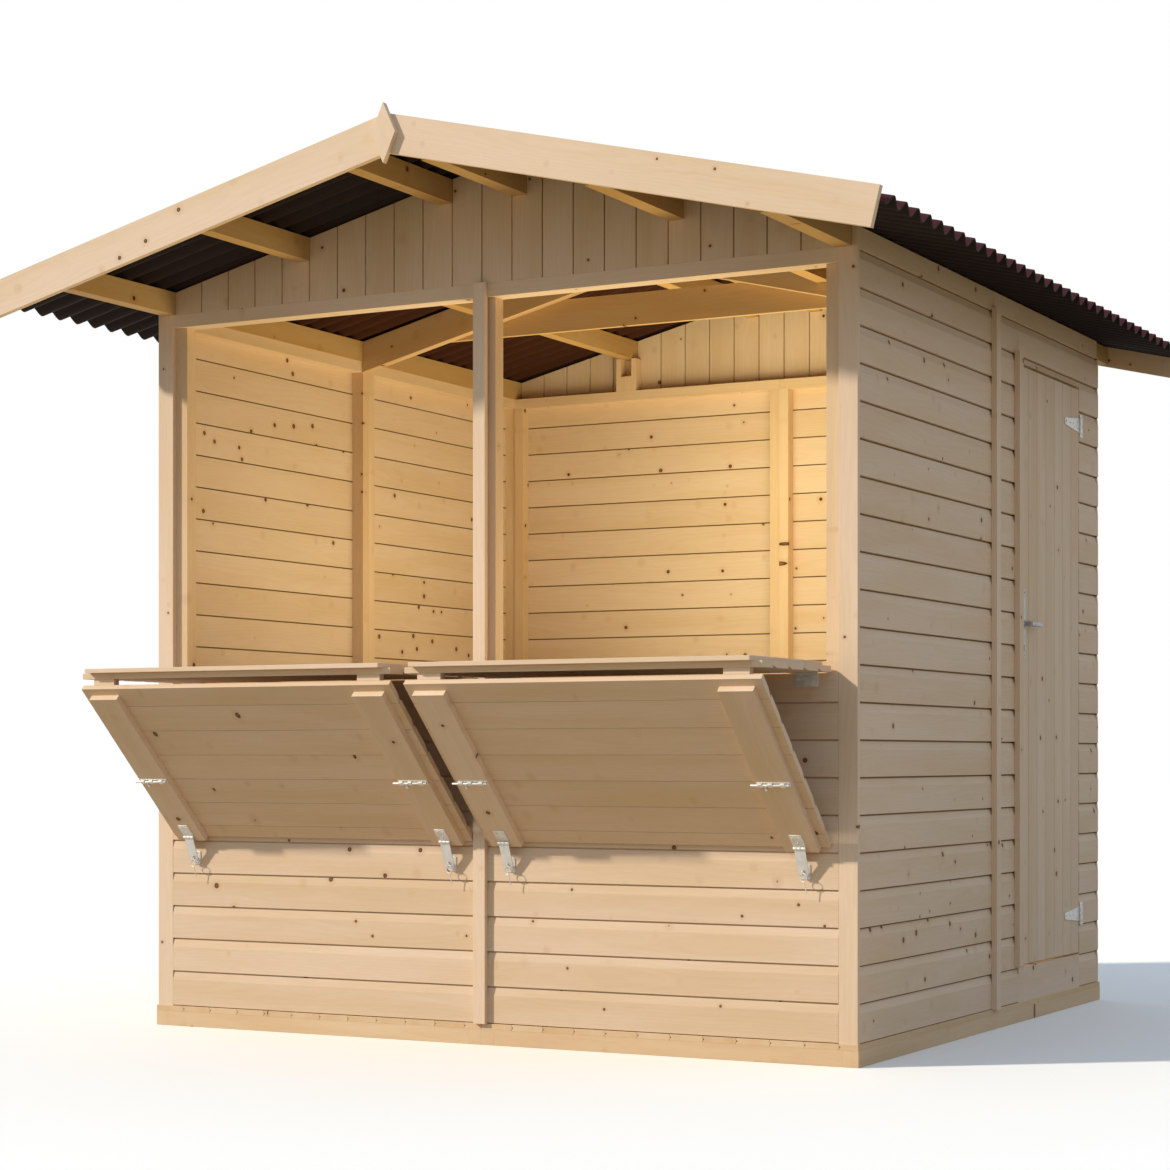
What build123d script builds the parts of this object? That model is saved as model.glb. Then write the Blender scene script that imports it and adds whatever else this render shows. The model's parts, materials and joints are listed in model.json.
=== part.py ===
"""Wooden market hut with a gable roof, two folding serving shutters and a side door.

Millimetres. X runs along the serving front, Y from the front to the back, Z up.
The origin is on the ground under the middle of the hut's overall box.
"""

import os
from math import ceil, cos, radians, sin, tan

from build123d import *

# Base and floor
base_width = 2220.0
base_depth = 2070.0
base_reveal = 4.0
bearer_height = 42.0
bearer_width = 42.0
joist_width = 34.0
joists_per_panel = 5
deck_thickness = 16.0
panel_gap = 0.4

# Wall cladding
board_thickness = 16.0
course_pitch = 96.0
starter_height = 100.9
lap_height = 24.0
lap_depth = 6.5
stud_width = 34.0
stud_depth = 42.0
rail_height = 34.0
strip_width = 37.0
strip_thickness = 16.0
corner_trim_width = 52.0
seat_gap = 0.2

# Serving front
sill_height = 944.0
header_height = 38.0
gable_board_pitch = 95.0
gable_groove_width = 3.0
gable_groove_depth = 3.0

# Roof
roof_pitch = 13.63
roof_reach = 252.0
front_overhang = 482.0
rear_overhang = 180.0
barge_depth = 99.4
barge_thickness = 18.0
sheet_wave_pitch = 78.0
sheet_wave_height = 26.0
sheet_thickness = 3.0
sheet_drop = 11.0
sheet_eave_reach = 4.0
purlin_width = 46.0
purlin_drop = 60.0
ridge_purlin_offset = 118.0
ridge_cap_reach = 130.0
ridge_cap_thickness = 3.0
finial_width = 72.0
finial_height = 156.0
finial_thickness = 16.0
finial_rise = 24.0

# Roof truss at mid depth
rafter_depth = 100.0
rafter_thickness = 34.0
tie_depth = 100.0
tie_thickness = 18.0
tie_rise = 46.0

# Seats that carry the mid purlins at the back wall
seat_foot_width = 50.0
seat_foot_height = 52.0
seat_cleat_width = 18.0
seat_window = 42.0

# Side door
door_width = 582.0
door_height = 1786.0
door_head_height = 132.0
door_from_back = 212.0
door_sill_height = 110.0
door_clearance = 6.0
door_board_pitch = 84.0
door_bead_width = 4.0
door_bead_depth = 3.0
ledge_height = 95.0
ledge_thickness = 18.0
ledge_inset = 60.0
hinge_strap_length = 150.0
hinge_strap_root = 48.0
hinge_strap_tip = 22.0
hinge_plate_thickness = 2.5
hinge_pin_radius = 5.0
hinge_plate_width = 26.0
hinge_plate_height = 72.0
hinge_from_top = 114.0
hinge_from_bottom = 122.0
hinge_clearance = 0.4
handle_height = 1128.0
handle_from_edge = 42.0
handle_neck_radius = 8.0
handle_neck_length = 28.0
handle_lever_length = 92.0
handle_lever_radius = 8.0
handle_plate_width = 22.0
handle_plate_height = 210.0
handle_plate_thickness = 2.0

# Folding serving shutters
shutter_side_gap = 3.5
shutter_end_gap = 70.0
shutter_board_thickness = 16.0
counter_depth = 430.0
counter_inset = 6.0
counter_lift = 2.0
counter_course_pitch = 93.0
counter_starter = 81.0
counter_top_thickness = 12.0
counter_top_inset = 24.0
counter_top_overhang = 22.0
shutter_length = 596.0
shutter_starter = 69.0
shutter_tilt = 45.4
shutter_drop = 28.0
shutter_advance = 6.5
batten_width = 95.0
batten_thickness = 18.0
batten_start = 24.0
batten_side_inset = 24.0
shutter_block_width = 70.0
shutter_block_inset = 36.0
shutter_block_depth = 30.0
bolt_length = 93.0
bolt_height = 14.0
bolt_thickness = 9.0
bolt_rod_radius = 4.0
bolt_rod_reach = 16.0
bolt_knob_radius = 3.5
bolt_knob_reach = 11.0
bolt_level = 346.0
hasp_width = 35.0
hasp_thickness = 2.5
hasp_plate_length = 46.0
hasp_level = 577.0
hasp_knuckle_radius = 4.5
hasp_tail_width = 30.0
hasp_tail_length = 62.0
hasp_tail_tilt = 21.5
hasp_eye_radius = 7.0
staple_width = 26.0
staple_height = 40.0
staple_thickness = 2.0
staple_pin_radius = 3.0
staple_reach = 22.0
counter_hinge_width = 66.0
counter_hinge_height = 35.0
counter_hinge_reach = 25.0
counter_hinge_thickness = 2.5
counter_hinge_from_end = 70.5

# Derived levels and faces
floor_top = bearer_height + deck_thickness
wall_width = base_width - 2 * base_reveal
wall_depth = base_depth - 2 * base_reveal
half_width = wall_width / 2
wall_height = door_sill_height + door_height + door_head_height
wall_top = floor_top + wall_height
slope = tan(radians(roof_pitch))
barge_drop = barge_depth / cos(radians(roof_pitch))
sheet_rise = sheet_wave_height + sheet_thickness
sheet_offset = sheet_drop + (sheet_rise + seat_gap) / cos(radians(roof_pitch))
eave_purlin_offset = half_width - board_thickness - seat_gap - purlin_width / 2
mid_purlin_offset = (eave_purlin_offset + ridge_purlin_offset) / 2
ridge_height = (
    wall_top + seat_gap + purlin_drop + sheet_offset + slope * eave_purlin_offset
)
overall_front = front_overhang + finial_thickness + seat_gap
overall_back = rear_overhang + finial_thickness + seat_gap
front_face = overall_front - (overall_front + wall_depth + overall_back) / 2
back_face = front_face + wall_depth
inner_front = front_face + board_thickness
inner_back = back_face - board_thickness
inner_side = half_width - board_thickness
stud_front = inner_front + stud_depth
stud_back = inner_back - stud_depth
stud_side = inner_side - stud_depth
side_joint = (inner_front + back_face) / 2
sill_top = floor_top + sill_height
header_bottom = wall_top - header_height
door_back = back_face - door_from_back
door_front = door_back - door_width
door_bottom = floor_top + door_sill_height
door_top = door_bottom + door_height


def barge_line(x):
    """Height of the barge boards' top edge at a distance x from the centre line."""
    return ridge_height - slope * abs(x)


def sheet_line(x):
    """Height of the roof sheets' underside at a distance x from the centre line."""
    return barge_line(x) - sheet_offset


def block(x, y, z, mode=Mode.ADD):
    """Add or cut a box in the current part, given as low and high limits on each axis."""
    centre = ((x[0] + x[1]) / 2, (y[0] + y[1]) / 2, (z[0] + z[1]) / 2)
    with Locations(centre):
        Box(x[1] - x[0], y[1] - y[0], z[1] - z[0], mode=mode)


def seam_heights(low, high):
    """List the heights of the cladding seams that lie inside a panel."""
    count = ceil((high - floor_top) / course_pitch)
    seams = [floor_top + starter_height + course_pitch * i for i in range(count)]
    return [z for z in seams if low + lap_height / 2 < z < high - 1]


def lapped_profile(start, end, seams):
    """Section of lapped boards as (along, depth) points, depth from the lapped face."""
    points = [(start, 0)]
    for seam in seams:
        points.append((max(start + 1, seam - lap_height), 0))
        points.append((seam, lap_depth))
        points.append((seam, 0))
    points.append((end, 0))
    points.append((end, board_thickness))
    points.append((start, board_thickness))
    return points


def lapped_outline(outer, inner, low, high):
    """Outline of a wall's lapped boards as (across, height) points."""
    inward = 1 if inner > outer else -1
    profile = lapped_profile(low, high, seam_heights(low, high))
    return [(outer + inward * depth, z) for z, depth in profile]


def clad_along_x(outer, inner, x, z):
    """Lapped boards that run along X between two limits, as a part."""
    with BuildPart() as cladding:
        with BuildSketch(Plane.YZ.offset(x[0])):
            with BuildLine():
                Polyline(*lapped_outline(outer, inner, z[0], z[1]), close=True)
            make_face()
        extrude(amount=x[1] - x[0])
    return cladding


def clad_along_y(outer, inner, y, z):
    """Lapped boards that run along Y between two limits, as a part."""
    with BuildPart() as cladding:
        with BuildSketch(Plane.XZ.offset(-y[1])):
            with BuildLine():
                Polyline(*lapped_outline(outer, inner, z[0], z[1]), close=True)
            make_face()
        extrude(amount=y[1] - y[0])
    return cladding


def under_roof(low, clearance):
    """Outline in X and Z of what fills the gable from a height to the sheets."""
    reach = eave_purlin_offset - purlin_width / 2 - seat_gap
    top = sheet_line(0) - clearance
    side = sheet_line(reach) - clearance
    return [(-reach, low), (reach, low), (reach, side), (0, top), (-reach, side)]


# Floor frame: bearers run from front to back, joists cross between them.
half_base = base_width / 2
base_front = front_face - base_reveal
base_back = back_face + base_reveal
bearer_lines = [
    -half_base + bearer_width / 2,
    -(bearer_width + panel_gap) / 2,
    (bearer_width + panel_gap) / 2,
    half_base - bearer_width / 2,
]
with BuildPart() as floor_bearers:
    for line in bearer_lines:
        block(
            (line - bearer_width / 2, line + bearer_width / 2),
            (base_front, base_back),
            (0, bearer_height),
        )

joist_span = half_base - panel_gap / 2 - 2 * bearer_width - 2 * seat_gap
joist_middle = (half_base + panel_gap / 2) / 2
joist_spacing = (base_depth - joist_width) / (joists_per_panel - 1)
with BuildPart() as floor_joists:
    with Locations((0, (base_front + base_back) / 2, bearer_height / 2)):
        with GridLocations(2 * joist_middle, joist_spacing, 2, joists_per_panel):
            Box(joist_span, joist_width, bearer_height)

with BuildPart() as deck_left:
    block(
        (-half_base, -panel_gap / 2), (base_front, base_back), (bearer_height, floor_top)
    )
with BuildPart() as deck_right:
    block(
        (panel_gap / 2, half_base), (base_front, base_back), (bearer_height, floor_top)
    )

# Front wall: two lower panels, corner trims, header rails and gable boards.
trim_inner = half_width - corner_trim_width
ear_inner = eave_purlin_offset + purlin_width / 2 + seat_gap
ear_top = sheet_line(half_width) - seat_gap
strip_half = strip_width / 2
front_left_cladding = clad_along_x(
    front_face, inner_front, (-trim_inner + seat_gap, -panel_gap / 2), (floor_top, sill_top)
)
front_right_cladding = clad_along_x(
    front_face, inner_front, (panel_gap / 2, trim_inner - seat_gap), (floor_top, sill_top)
)
with BuildPart() as front_trims:
    block((trim_inner, half_width), (front_face, inner_front), (floor_top, wall_top))
    block((ear_inner, half_width), (front_face, inner_front), (wall_top, ear_top))
    mirror(about=Plane.YZ)

header_z = (header_bottom, wall_top)
front_stud_outer = stud_side - seat_gap
with BuildPart() as front_headers:
    block((panel_gap / 2, trim_inner - seat_gap), (front_face, inner_front), header_z)
    block((panel_gap / 2, front_stud_outer), (inner_front, stud_front), header_z)
    mirror(about=Plane.YZ)

with BuildPart() as front_studs:
    for low, high in (
        (panel_gap / 2, panel_gap / 2 + stud_width),
        (front_stud_outer - stud_width, front_stud_outer),
    ):
        block(
            (low, high),
            (inner_front + seat_gap, stud_front),
            (floor_top + rail_height, header_bottom - seat_gap),
        )
    mirror(about=Plane.YZ)

sill_low = panel_gap / 2 + stud_width + seat_gap
sill_high = front_stud_outer - stud_width - seat_gap
with BuildPart() as sill_rails:
    block(
        (sill_low, sill_high),
        (inner_front + seat_gap, stud_front),
        (sill_top - rail_height, sill_top),
    )
    mirror(about=Plane.YZ)


def gable_boards(near, far):
    """Vertical boards between two Y faces, from the wall top up to the sheets."""
    outer, inward = (near, 1) if near < 0 else (far, -1)
    with BuildPart() as boards:
        with BuildSketch(Plane.XZ.offset(-far)):
            with BuildLine():
                Polyline(*under_roof(wall_top + seat_gap, seat_gap), close=True)
            make_face()
        extrude(amount=far - near)
        groove_count = int((half_width - gable_board_pitch / 2) / gable_board_pitch)
        for side in (-1, 1):
            for i in range(1, groove_count + 1):
                x = side * i * gable_board_pitch
                depth = gable_groove_depth
                with Locations((x, outer + inward * depth / 2, wall_top)):
                    Box(gable_groove_width, depth, 4 * barge_depth, mode=Mode.SUBTRACT)
        for line in purlin_lines():
            purlin_cut(line, near, far)
    return boards


def purlin_lines():
    """Centre lines of the six purlins."""
    right = [ridge_purlin_offset, mid_purlin_offset, eave_purlin_offset]
    return [-x for x in reversed(right)] + right


def purlin_outline(line, clearance):
    """Outline in X and Z of the purlin on one line, its top planed to the slope."""
    low, high = line - purlin_width / 2 - clearance, line + purlin_width / 2 + clearance
    bottom = sheet_line(line) - purlin_drop - clearance
    return [
        (low, bottom),
        (high, bottom),
        (high, sheet_line(high) + clearance),
        (low, sheet_line(low) + clearance),
    ]


def purlin_cut(line, near, far):
    """Cut the current part where a purlin passes through it along Y."""
    reach = purlin_width / 2 + seat_gap
    bottom = sheet_line(line) - purlin_drop - seat_gap
    block(
        (line - reach, line + reach), (near, far), (bottom, ridge_height), Mode.SUBTRACT
    )


front_gable = gable_boards(front_face, inner_front)

# Back wall: two closed panels and the same gable.
back_left_cladding = clad_along_x(
    back_face, inner_back, (-half_width, -panel_gap / 2), (floor_top, wall_top)
)
back_right_cladding = clad_along_x(
    back_face, inner_back, (panel_gap / 2, half_width), (floor_top, wall_top)
)
back_gable = gable_boards(inner_back, back_face)
with BuildPart() as back_studs:
    for low, high in (
        (panel_gap / 2, panel_gap / 2 + stud_width),
        (front_stud_outer - stud_width, front_stud_outer),
    ):
        block(
            (low, high),
            (stud_back, inner_back - seat_gap),
            (floor_top + rail_height, wall_top - rail_height),
        )
    mirror(about=Plane.YZ)

# Side walls: cladding in two panels, the right one around the doorway.
side_top = sheet_line(half_width) - seat_gap
side_z = (floor_top, side_top)
front_half = (inner_front + seat_gap, side_joint - panel_gap / 2)
rear_half = (side_joint + panel_gap / 2, inner_back - seat_gap)
left_front_cladding = clad_along_y(-half_width, -inner_side, front_half, side_z)
left_rear_cladding = clad_along_y(-half_width, -inner_side, rear_half, side_z)
right_front_cladding = clad_along_y(half_width, inner_side, front_half, side_z)
door_gap_front = door_front - door_clearance
door_gap_back = door_back + door_clearance
door_gap_top = door_top + door_clearance
door_gap_bottom = door_bottom - door_clearance
door_side_cladding = clad_along_y(
    half_width, inner_side, (rear_half[0], door_gap_front), side_z
)
door_rear_cladding = clad_along_y(
    half_width, inner_side, (door_gap_back, rear_half[1]), side_z
)
over_door = (door_gap_front + seat_gap, door_gap_back - seat_gap)
over_door_cladding = clad_along_y(
    half_width, inner_side, over_door, (door_gap_top, side_top)
)
with BuildPart() as under_door_board:
    block((inner_side, half_width), over_door, (floor_top, door_gap_bottom))

stud_rows = [
    inner_front + seat_gap,
    side_joint - panel_gap / 2 - stud_width,
    side_joint + panel_gap / 2,
    inner_back - seat_gap - stud_width,
]
door_rows = [door_gap_front - stud_width, door_gap_back]
stud_z = (floor_top + rail_height, wall_top - rail_height)
side_x = (stud_side, inner_side - seat_gap)
with BuildPart() as left_studs:
    for row in stud_rows:
        block((-side_x[1], -side_x[0]), (row, row + stud_width), stud_z)
with BuildPart() as right_studs:
    for row in stud_rows + door_rows:
        block(side_x, (row, row + stud_width), stud_z)

# Rails along the foot and the head of each wall.
side_run = (inner_front + seat_gap, inner_back - seat_gap)
cross_half = (panel_gap / 2, stud_side - seat_gap)
with BuildPart() as bottom_rails:
    rail_z = (floor_top, floor_top + rail_height - seat_gap)
    block(side_x, side_run, rail_z)
    block(cross_half, (inner_front + seat_gap, stud_front), rail_z)
    block(cross_half, (stud_back, inner_back - seat_gap), rail_z)
    mirror(about=Plane.YZ)
with BuildPart() as top_rails:
    rail_z = (wall_top - rail_height + seat_gap, wall_top)
    block(side_x, side_run, rail_z)
    block(cross_half, (stud_back, inner_back - seat_gap), rail_z)
    mirror(about=Plane.YZ)

# Strips that cover the joint between the two panels of each wall, and the door stop.
strip_top = wall_top
jamb_front = door_gap_front - strip_width
with BuildPart() as cover_strips:
    front_strip_y = (front_face - strip_thickness - seat_gap, front_face - seat_gap)
    back_strip_y = (back_face + seat_gap, back_face + seat_gap + strip_thickness)
    block((-strip_half, strip_half), front_strip_y, (floor_top, strip_top))
    block((-strip_half, strip_half), back_strip_y, (floor_top, strip_top))
    outer_x = (half_width + seat_gap, half_width + seat_gap + strip_thickness)
    joint_y = (side_joint - strip_half, side_joint + strip_half)
    block(outer_x, joint_y, (floor_top, strip_top))
    block((-outer_x[1], -outer_x[0]), joint_y, (floor_top, strip_top))
    block(
        outer_x,
        (jamb_front, jamb_front + strip_width),
        (door_bottom, door_top + strip_width),
    )

# Roof carpentry: purlins run the full length, one truss stands at mid depth.
roof_front = front_face - front_overhang
roof_back = back_face + rear_overhang
purlin_y = (
    roof_front + barge_thickness + seat_gap,
    roof_back - barge_thickness - seat_gap,
)
with BuildPart() as purlins:
    for line in purlin_lines():
        with BuildSketch(Plane.XZ.offset(-purlin_y[1])):
            with BuildLine():
                Polyline(*purlin_outline(line, -seat_gap / 2), close=True)
            make_face()
        extrude(amount=purlin_y[1] - purlin_y[0])

truss_y = (front_face + back_face) / 2
truss_reach = stud_side - seat_gap
rafter_bottom = sheet_line(0) - rafter_depth
with BuildPart() as truss_rafters:
    with BuildSketch(Plane.XZ.offset(-truss_y)):
        with BuildLine():
            Polyline(
                (-truss_reach, sheet_line(truss_reach) - seat_gap),
                (0, sheet_line(0) - seat_gap),
                (truss_reach, sheet_line(truss_reach) - seat_gap),
                (truss_reach, sheet_line(truss_reach) - rafter_depth),
                (0, rafter_bottom),
                (-truss_reach, sheet_line(truss_reach) - rafter_depth),
                close=True,
            )
        make_face()
    extrude(amount=rafter_thickness)
    for line in purlin_lines():
        purlin_cut(line, truss_y - rafter_thickness, truss_y)

tie_bottom = wall_top + tie_rise
tie_top = tie_bottom + tie_depth
tie_shoulder = (sheet_line(0) - seat_gap - tie_top) / slope
tie_y = (truss_y + seat_gap, truss_y + seat_gap + tie_thickness)
with BuildPart() as truss_tie:
    with BuildSketch(Plane.XZ.offset(-tie_y[1])):
        with BuildLine():
            Polyline(
                (-truss_reach, tie_bottom),
                (truss_reach, tie_bottom),
                (truss_reach, sheet_line(truss_reach) - seat_gap),
                (tie_shoulder, tie_top),
                (-tie_shoulder, tie_top),
                (-truss_reach, sheet_line(truss_reach) - seat_gap),
                close=True,
            )
        make_face()
    extrude(amount=tie_thickness)
    for line in purlin_lines():
        purlin_cut(line, tie_y[0], tie_y[1])

seat_line = mid_purlin_offset
seat_foot = wall_top + seat_gap
seat_head = sheet_line(seat_line) - purlin_drop - 2 * seat_gap
with BuildPart() as purlin_seats:
    seat_y = (stud_back, inner_back - seat_gap)
    block(
        (seat_line - seat_foot_width / 2, seat_line + seat_foot_width / 2),
        seat_y,
        (seat_foot, seat_foot + seat_foot_height),
    )
    for near in (
        seat_line - seat_window / 2 - seat_cleat_width,
        seat_line + seat_window / 2,
    ):
        block((near, near + seat_cleat_width), seat_y, (seat_foot, seat_head))
    mirror(about=Plane.YZ)

# Corrugated sheets: the waves run down the slope, the section repeats along Y.
sheet_y = purlin_y
sheet_reach = half_width + roof_reach + sheet_eave_reach
wave_count = round((sheet_y[1] - sheet_y[0]) / sheet_wave_pitch)
wave_step = (sheet_y[1] - sheet_y[0]) / wave_count
crest_flat = 0.22
slope_share = 0.28


def wave_points(level):
    """Section of the corrugation along Y at a level above the sheet's underside."""
    points = []
    for i in range(wave_count):
        start = sheet_y[0] + i * wave_step
        points.append((start, level))
        points.append((start + crest_flat * wave_step, level))
        rise = start + (crest_flat + slope_share) * wave_step
        points.append((rise, level + sheet_wave_height))
        points.append((rise + crest_flat * wave_step, level + sheet_wave_height))
    points.append((sheet_y[1], level))
    return points


def roof_sheet(side):
    """One slope's corrugated sheet, side 1 on the right and -1 on the left."""
    length = (sheet_reach - ridge_gap) / cos(radians(roof_pitch))
    start = (side * ridge_gap, 0, sheet_line(ridge_gap))
    down = (side * cos(radians(roof_pitch)), 0, -sin(radians(roof_pitch)))
    plane = Plane(origin=start, x_dir=(0, 1, 0), z_dir=down)
    flip = 1 if plane.y_dir.Z > 0 else -1
    lower = [(y, flip * z) for y, z in wave_points(0)]
    upper = [(y, flip * z) for y, z in wave_points(sheet_thickness)]
    with BuildPart() as sheet:
        with BuildSketch(plane):
            with BuildLine():
                Polyline(*lower, *reversed(upper), close=True)
            make_face()
        extrude(amount=length)
    return sheet


ridge_gap = 8.0
roof_sheet_left = roof_sheet(-1)
roof_sheet_right = roof_sheet(1)

cap_base = barge_line(0) - sheet_drop + seat_gap
with BuildPart() as ridge_cap:
    with BuildSketch(Plane.XZ.offset(-sheet_y[1])):
        with BuildLine():
            Polyline(
                (-ridge_cap_reach, cap_base - slope * ridge_cap_reach),
                (0, cap_base),
                (ridge_cap_reach, cap_base - slope * ridge_cap_reach),
                (ridge_cap_reach, cap_base - slope * ridge_cap_reach + ridge_cap_thickness),
                (0, cap_base + ridge_cap_thickness),
                (-ridge_cap_reach, cap_base - slope * ridge_cap_reach + ridge_cap_thickness),
                close=True,
            )
        make_face()
    extrude(amount=sheet_y[1] - sheet_y[0])

# Barge boards at both ends, square cut at the eaves, mitred at the ridge.
barge_reach = half_width + roof_reach


def barge_boards(side):
    """The front and the rear board of one slope."""
    square = barge_drop * sin(radians(roof_pitch)) * cos(radians(roof_pitch))
    outline = [
        (side * panel_gap / 2, barge_line(panel_gap / 2)),
        (side * barge_reach, barge_line(barge_reach)),
        (
            side * (barge_reach - square),
            barge_line(barge_reach - square) - barge_drop,
        ),
        (side * panel_gap / 2, barge_line(panel_gap / 2) - barge_drop),
    ]
    with BuildPart() as boards:
        for far in (roof_front + barge_thickness, roof_back):
            with BuildSketch(Plane.XZ.offset(-far)):
                with BuildLine():
                    Polyline(*outline, close=True)
                make_face()
            extrude(amount=barge_thickness)
    return boards


barge_boards_left = barge_boards(-1)
barge_boards_right = barge_boards(1)

finial_centre = ridge_height + finial_rise - finial_height / 2
with BuildPart() as finials:
    for far in (roof_front - seat_gap, roof_back + seat_gap + finial_thickness):
        with BuildSketch(Plane.XZ.offset(-far)):
            with BuildLine():
                Polyline(
                    (0, finial_centre + finial_height / 2),
                    (finial_width / 2, finial_centre),
                    (0, finial_centre - finial_height / 2),
                    (-finial_width / 2, finial_centre),
                    close=True,
                )
            make_face()
        extrude(amount=finial_thickness)

# Side door: boarded leaf with beads, ledges behind, strap hinges and a lever handle.
leaf_face = half_width
with BuildPart() as door_leaf:
    block((inner_side, leaf_face), (door_front, door_back), (door_bottom, door_top))
    bead_count = int((door_width - 1) / door_board_pitch)
    for i in range(1, bead_count + 1):
        y = door_front + i * door_board_pitch
        with Locations((leaf_face - door_bead_depth / 2, y, (door_bottom + door_top) / 2)):
            Box(door_bead_depth, door_bead_width, door_height, mode=Mode.SUBTRACT)

ledge_x = (inner_side - seat_gap - ledge_thickness, inner_side - seat_gap)
ledge_span = (door_front + ledge_inset, door_back - ledge_inset)
hinge_levels = [door_bottom + hinge_from_bottom, door_top - hinge_from_top]
with BuildPart() as door_ledges:
    for level in hinge_levels:
        block(ledge_x, ledge_span, (level - ledge_height / 2, level + ledge_height / 2))

pin_line = door_back + door_clearance / 2
strap_x = half_width + hinge_clearance
pin_x = strap_x + hinge_pin_radius
with BuildPart() as door_straps:
    for level in hinge_levels:
        with BuildSketch(Plane.YZ.offset(strap_x)):
            with BuildLine():
                Polyline(
                    (pin_line, level - hinge_strap_root / 2),
                    (pin_line, level + hinge_strap_root / 2),
                    (pin_line - hinge_strap_length, level + hinge_strap_tip / 2),
                    (pin_line - hinge_strap_length, level - hinge_strap_tip / 2),
                    close=True,
                )
            make_face()
        extrude(amount=hinge_plate_thickness)
        with BuildSketch(Plane.XY.offset(level - hinge_strap_root / 2)):
            with Locations((pin_x, pin_line)):
                Circle(hinge_pin_radius)
        extrude(amount=hinge_strap_root)

plate_edge = pin_line + hinge_pin_radius + hinge_clearance
with BuildPart() as hinge_plates:
    for level in hinge_levels:
        block(
            (strap_x, strap_x + hinge_plate_thickness),
            (plate_edge, plate_edge + hinge_plate_width),
            (level - hinge_plate_height / 2, level + hinge_plate_height / 2),
        )

handle_y = door_front + handle_from_edge
handle_z = floor_top + handle_height
with BuildPart() as door_handle:
    plate_outer = leaf_face + seat_gap + handle_plate_thickness
    block(
        (leaf_face + seat_gap, plate_outer),
        (handle_y - handle_plate_width / 2, handle_y + handle_plate_width / 2),
        (handle_z - handle_plate_height / 2, handle_z + handle_plate_height / 2),
    )
    with BuildSketch(Plane.YZ.offset(plate_outer)):
        with Locations((handle_y, handle_z)):
            Circle(handle_neck_radius)
    extrude(amount=handle_neck_length)
    neck_end = plate_outer + handle_neck_length - handle_lever_radius
    with BuildSketch(Plane.XZ.offset(-handle_y)):
        with Locations((neck_end, handle_z)):
            Circle(handle_lever_radius)
    extrude(amount=-handle_lever_length)

# Serving shutters: a counter leaf at the sill and a longer leaf folded back under it.
counter_z = (
    sill_top + counter_lift,
    sill_top + counter_lift + shutter_board_thickness,
)
shutter_start = strip_half + shutter_side_gap
shutter_width = half_width - shutter_end_gap - shutter_start
shutter_centre = shutter_start + shutter_width / 2
counter_front = front_face - counter_depth


counter_back = front_face - counter_inset


def counter(side):
    """The narrow leaf that stands level at the sill, its lapped face down."""
    middle = side * shutter_centre
    run = counter_back - counter_front
    count = ceil((run - counter_starter) / counter_course_pitch)
    seams = [counter_starter + counter_course_pitch * i for i in range(count)]
    profile = lapped_profile(0, run, seams)
    outline = [(counter_back - along, counter_z[0] + depth) for along, depth in profile]
    with BuildPart() as leaf:
        with BuildSketch(Plane.YZ.offset(middle - shutter_width / 2)):
            with BuildLine():
                Polyline(*outline, close=True)
            make_face()
        extrude(amount=shutter_width)
    return leaf


counter_left = counter(-1)
counter_right = counter(1)

top_half = shutter_width / 2 - counter_top_inset
top_z = (counter_z[1] + seat_gap, counter_z[1] + seat_gap + counter_top_thickness)
with BuildPart() as counter_tops:
    block(
        (shutter_centre - top_half, shutter_centre + top_half),
        (counter_front - counter_top_overhang, counter_back),
        top_z,
    )
    mirror(about=Plane.YZ)

# The folded leaf hangs under the counter's front edge and leans on the wall.
leaf_tilt = radians(shutter_tilt)
leaf_down = (sin(leaf_tilt), -cos(leaf_tilt))
leaf_out = (cos(leaf_tilt), sin(leaf_tilt))
leaf_top = (counter_front - shutter_advance, counter_z[0] - shutter_drop)


def on_leaf(along, out):
    """Point in Y and Z at a distance down the folded leaf and out behind its face."""
    return (
        leaf_top[0] + along * leaf_down[0] + out * leaf_out[0],
        leaf_top[1] + along * leaf_down[1] + out * leaf_out[1],
    )


def folded_leaf(side):
    """The longer leaf, its lapped face towards the wall."""
    middle = side * shutter_centre
    count = ceil((shutter_length - shutter_starter) / course_pitch)
    seams = [shutter_starter + course_pitch * i for i in range(count)]
    profile = lapped_profile(0, shutter_length, seams)
    outline = [on_leaf(along, board_thickness - depth) for along, depth in profile]
    with BuildPart() as leaf:
        with BuildSketch(Plane.YZ.offset(middle - shutter_width / 2)):
            with BuildLine():
                Polyline(*outline, close=True)
            make_face()
        extrude(amount=shutter_width)
    return leaf


shutter_left = folded_leaf(-1)
shutter_right = folded_leaf(1)

batten_lines = []
for side in (-1, 1):
    for edge in (-1, 1):
        reach = shutter_width / 2 - batten_side_inset - batten_width / 2
        batten_lines.append(side * shutter_centre + edge * reach)

batten_face = -seat_gap - batten_thickness
with BuildPart() as shutter_battens:
    for line in batten_lines:
        with BuildSketch(Plane.YZ.offset(line - batten_width / 2)):
            with BuildLine():
                Polyline(
                    on_leaf(batten_start, -seat_gap),
                    on_leaf(shutter_length, -seat_gap),
                    on_leaf(shutter_length, batten_face),
                    on_leaf(batten_start, batten_face),
                    close=True,
                )
            make_face()
        extrude(amount=batten_width)

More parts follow.
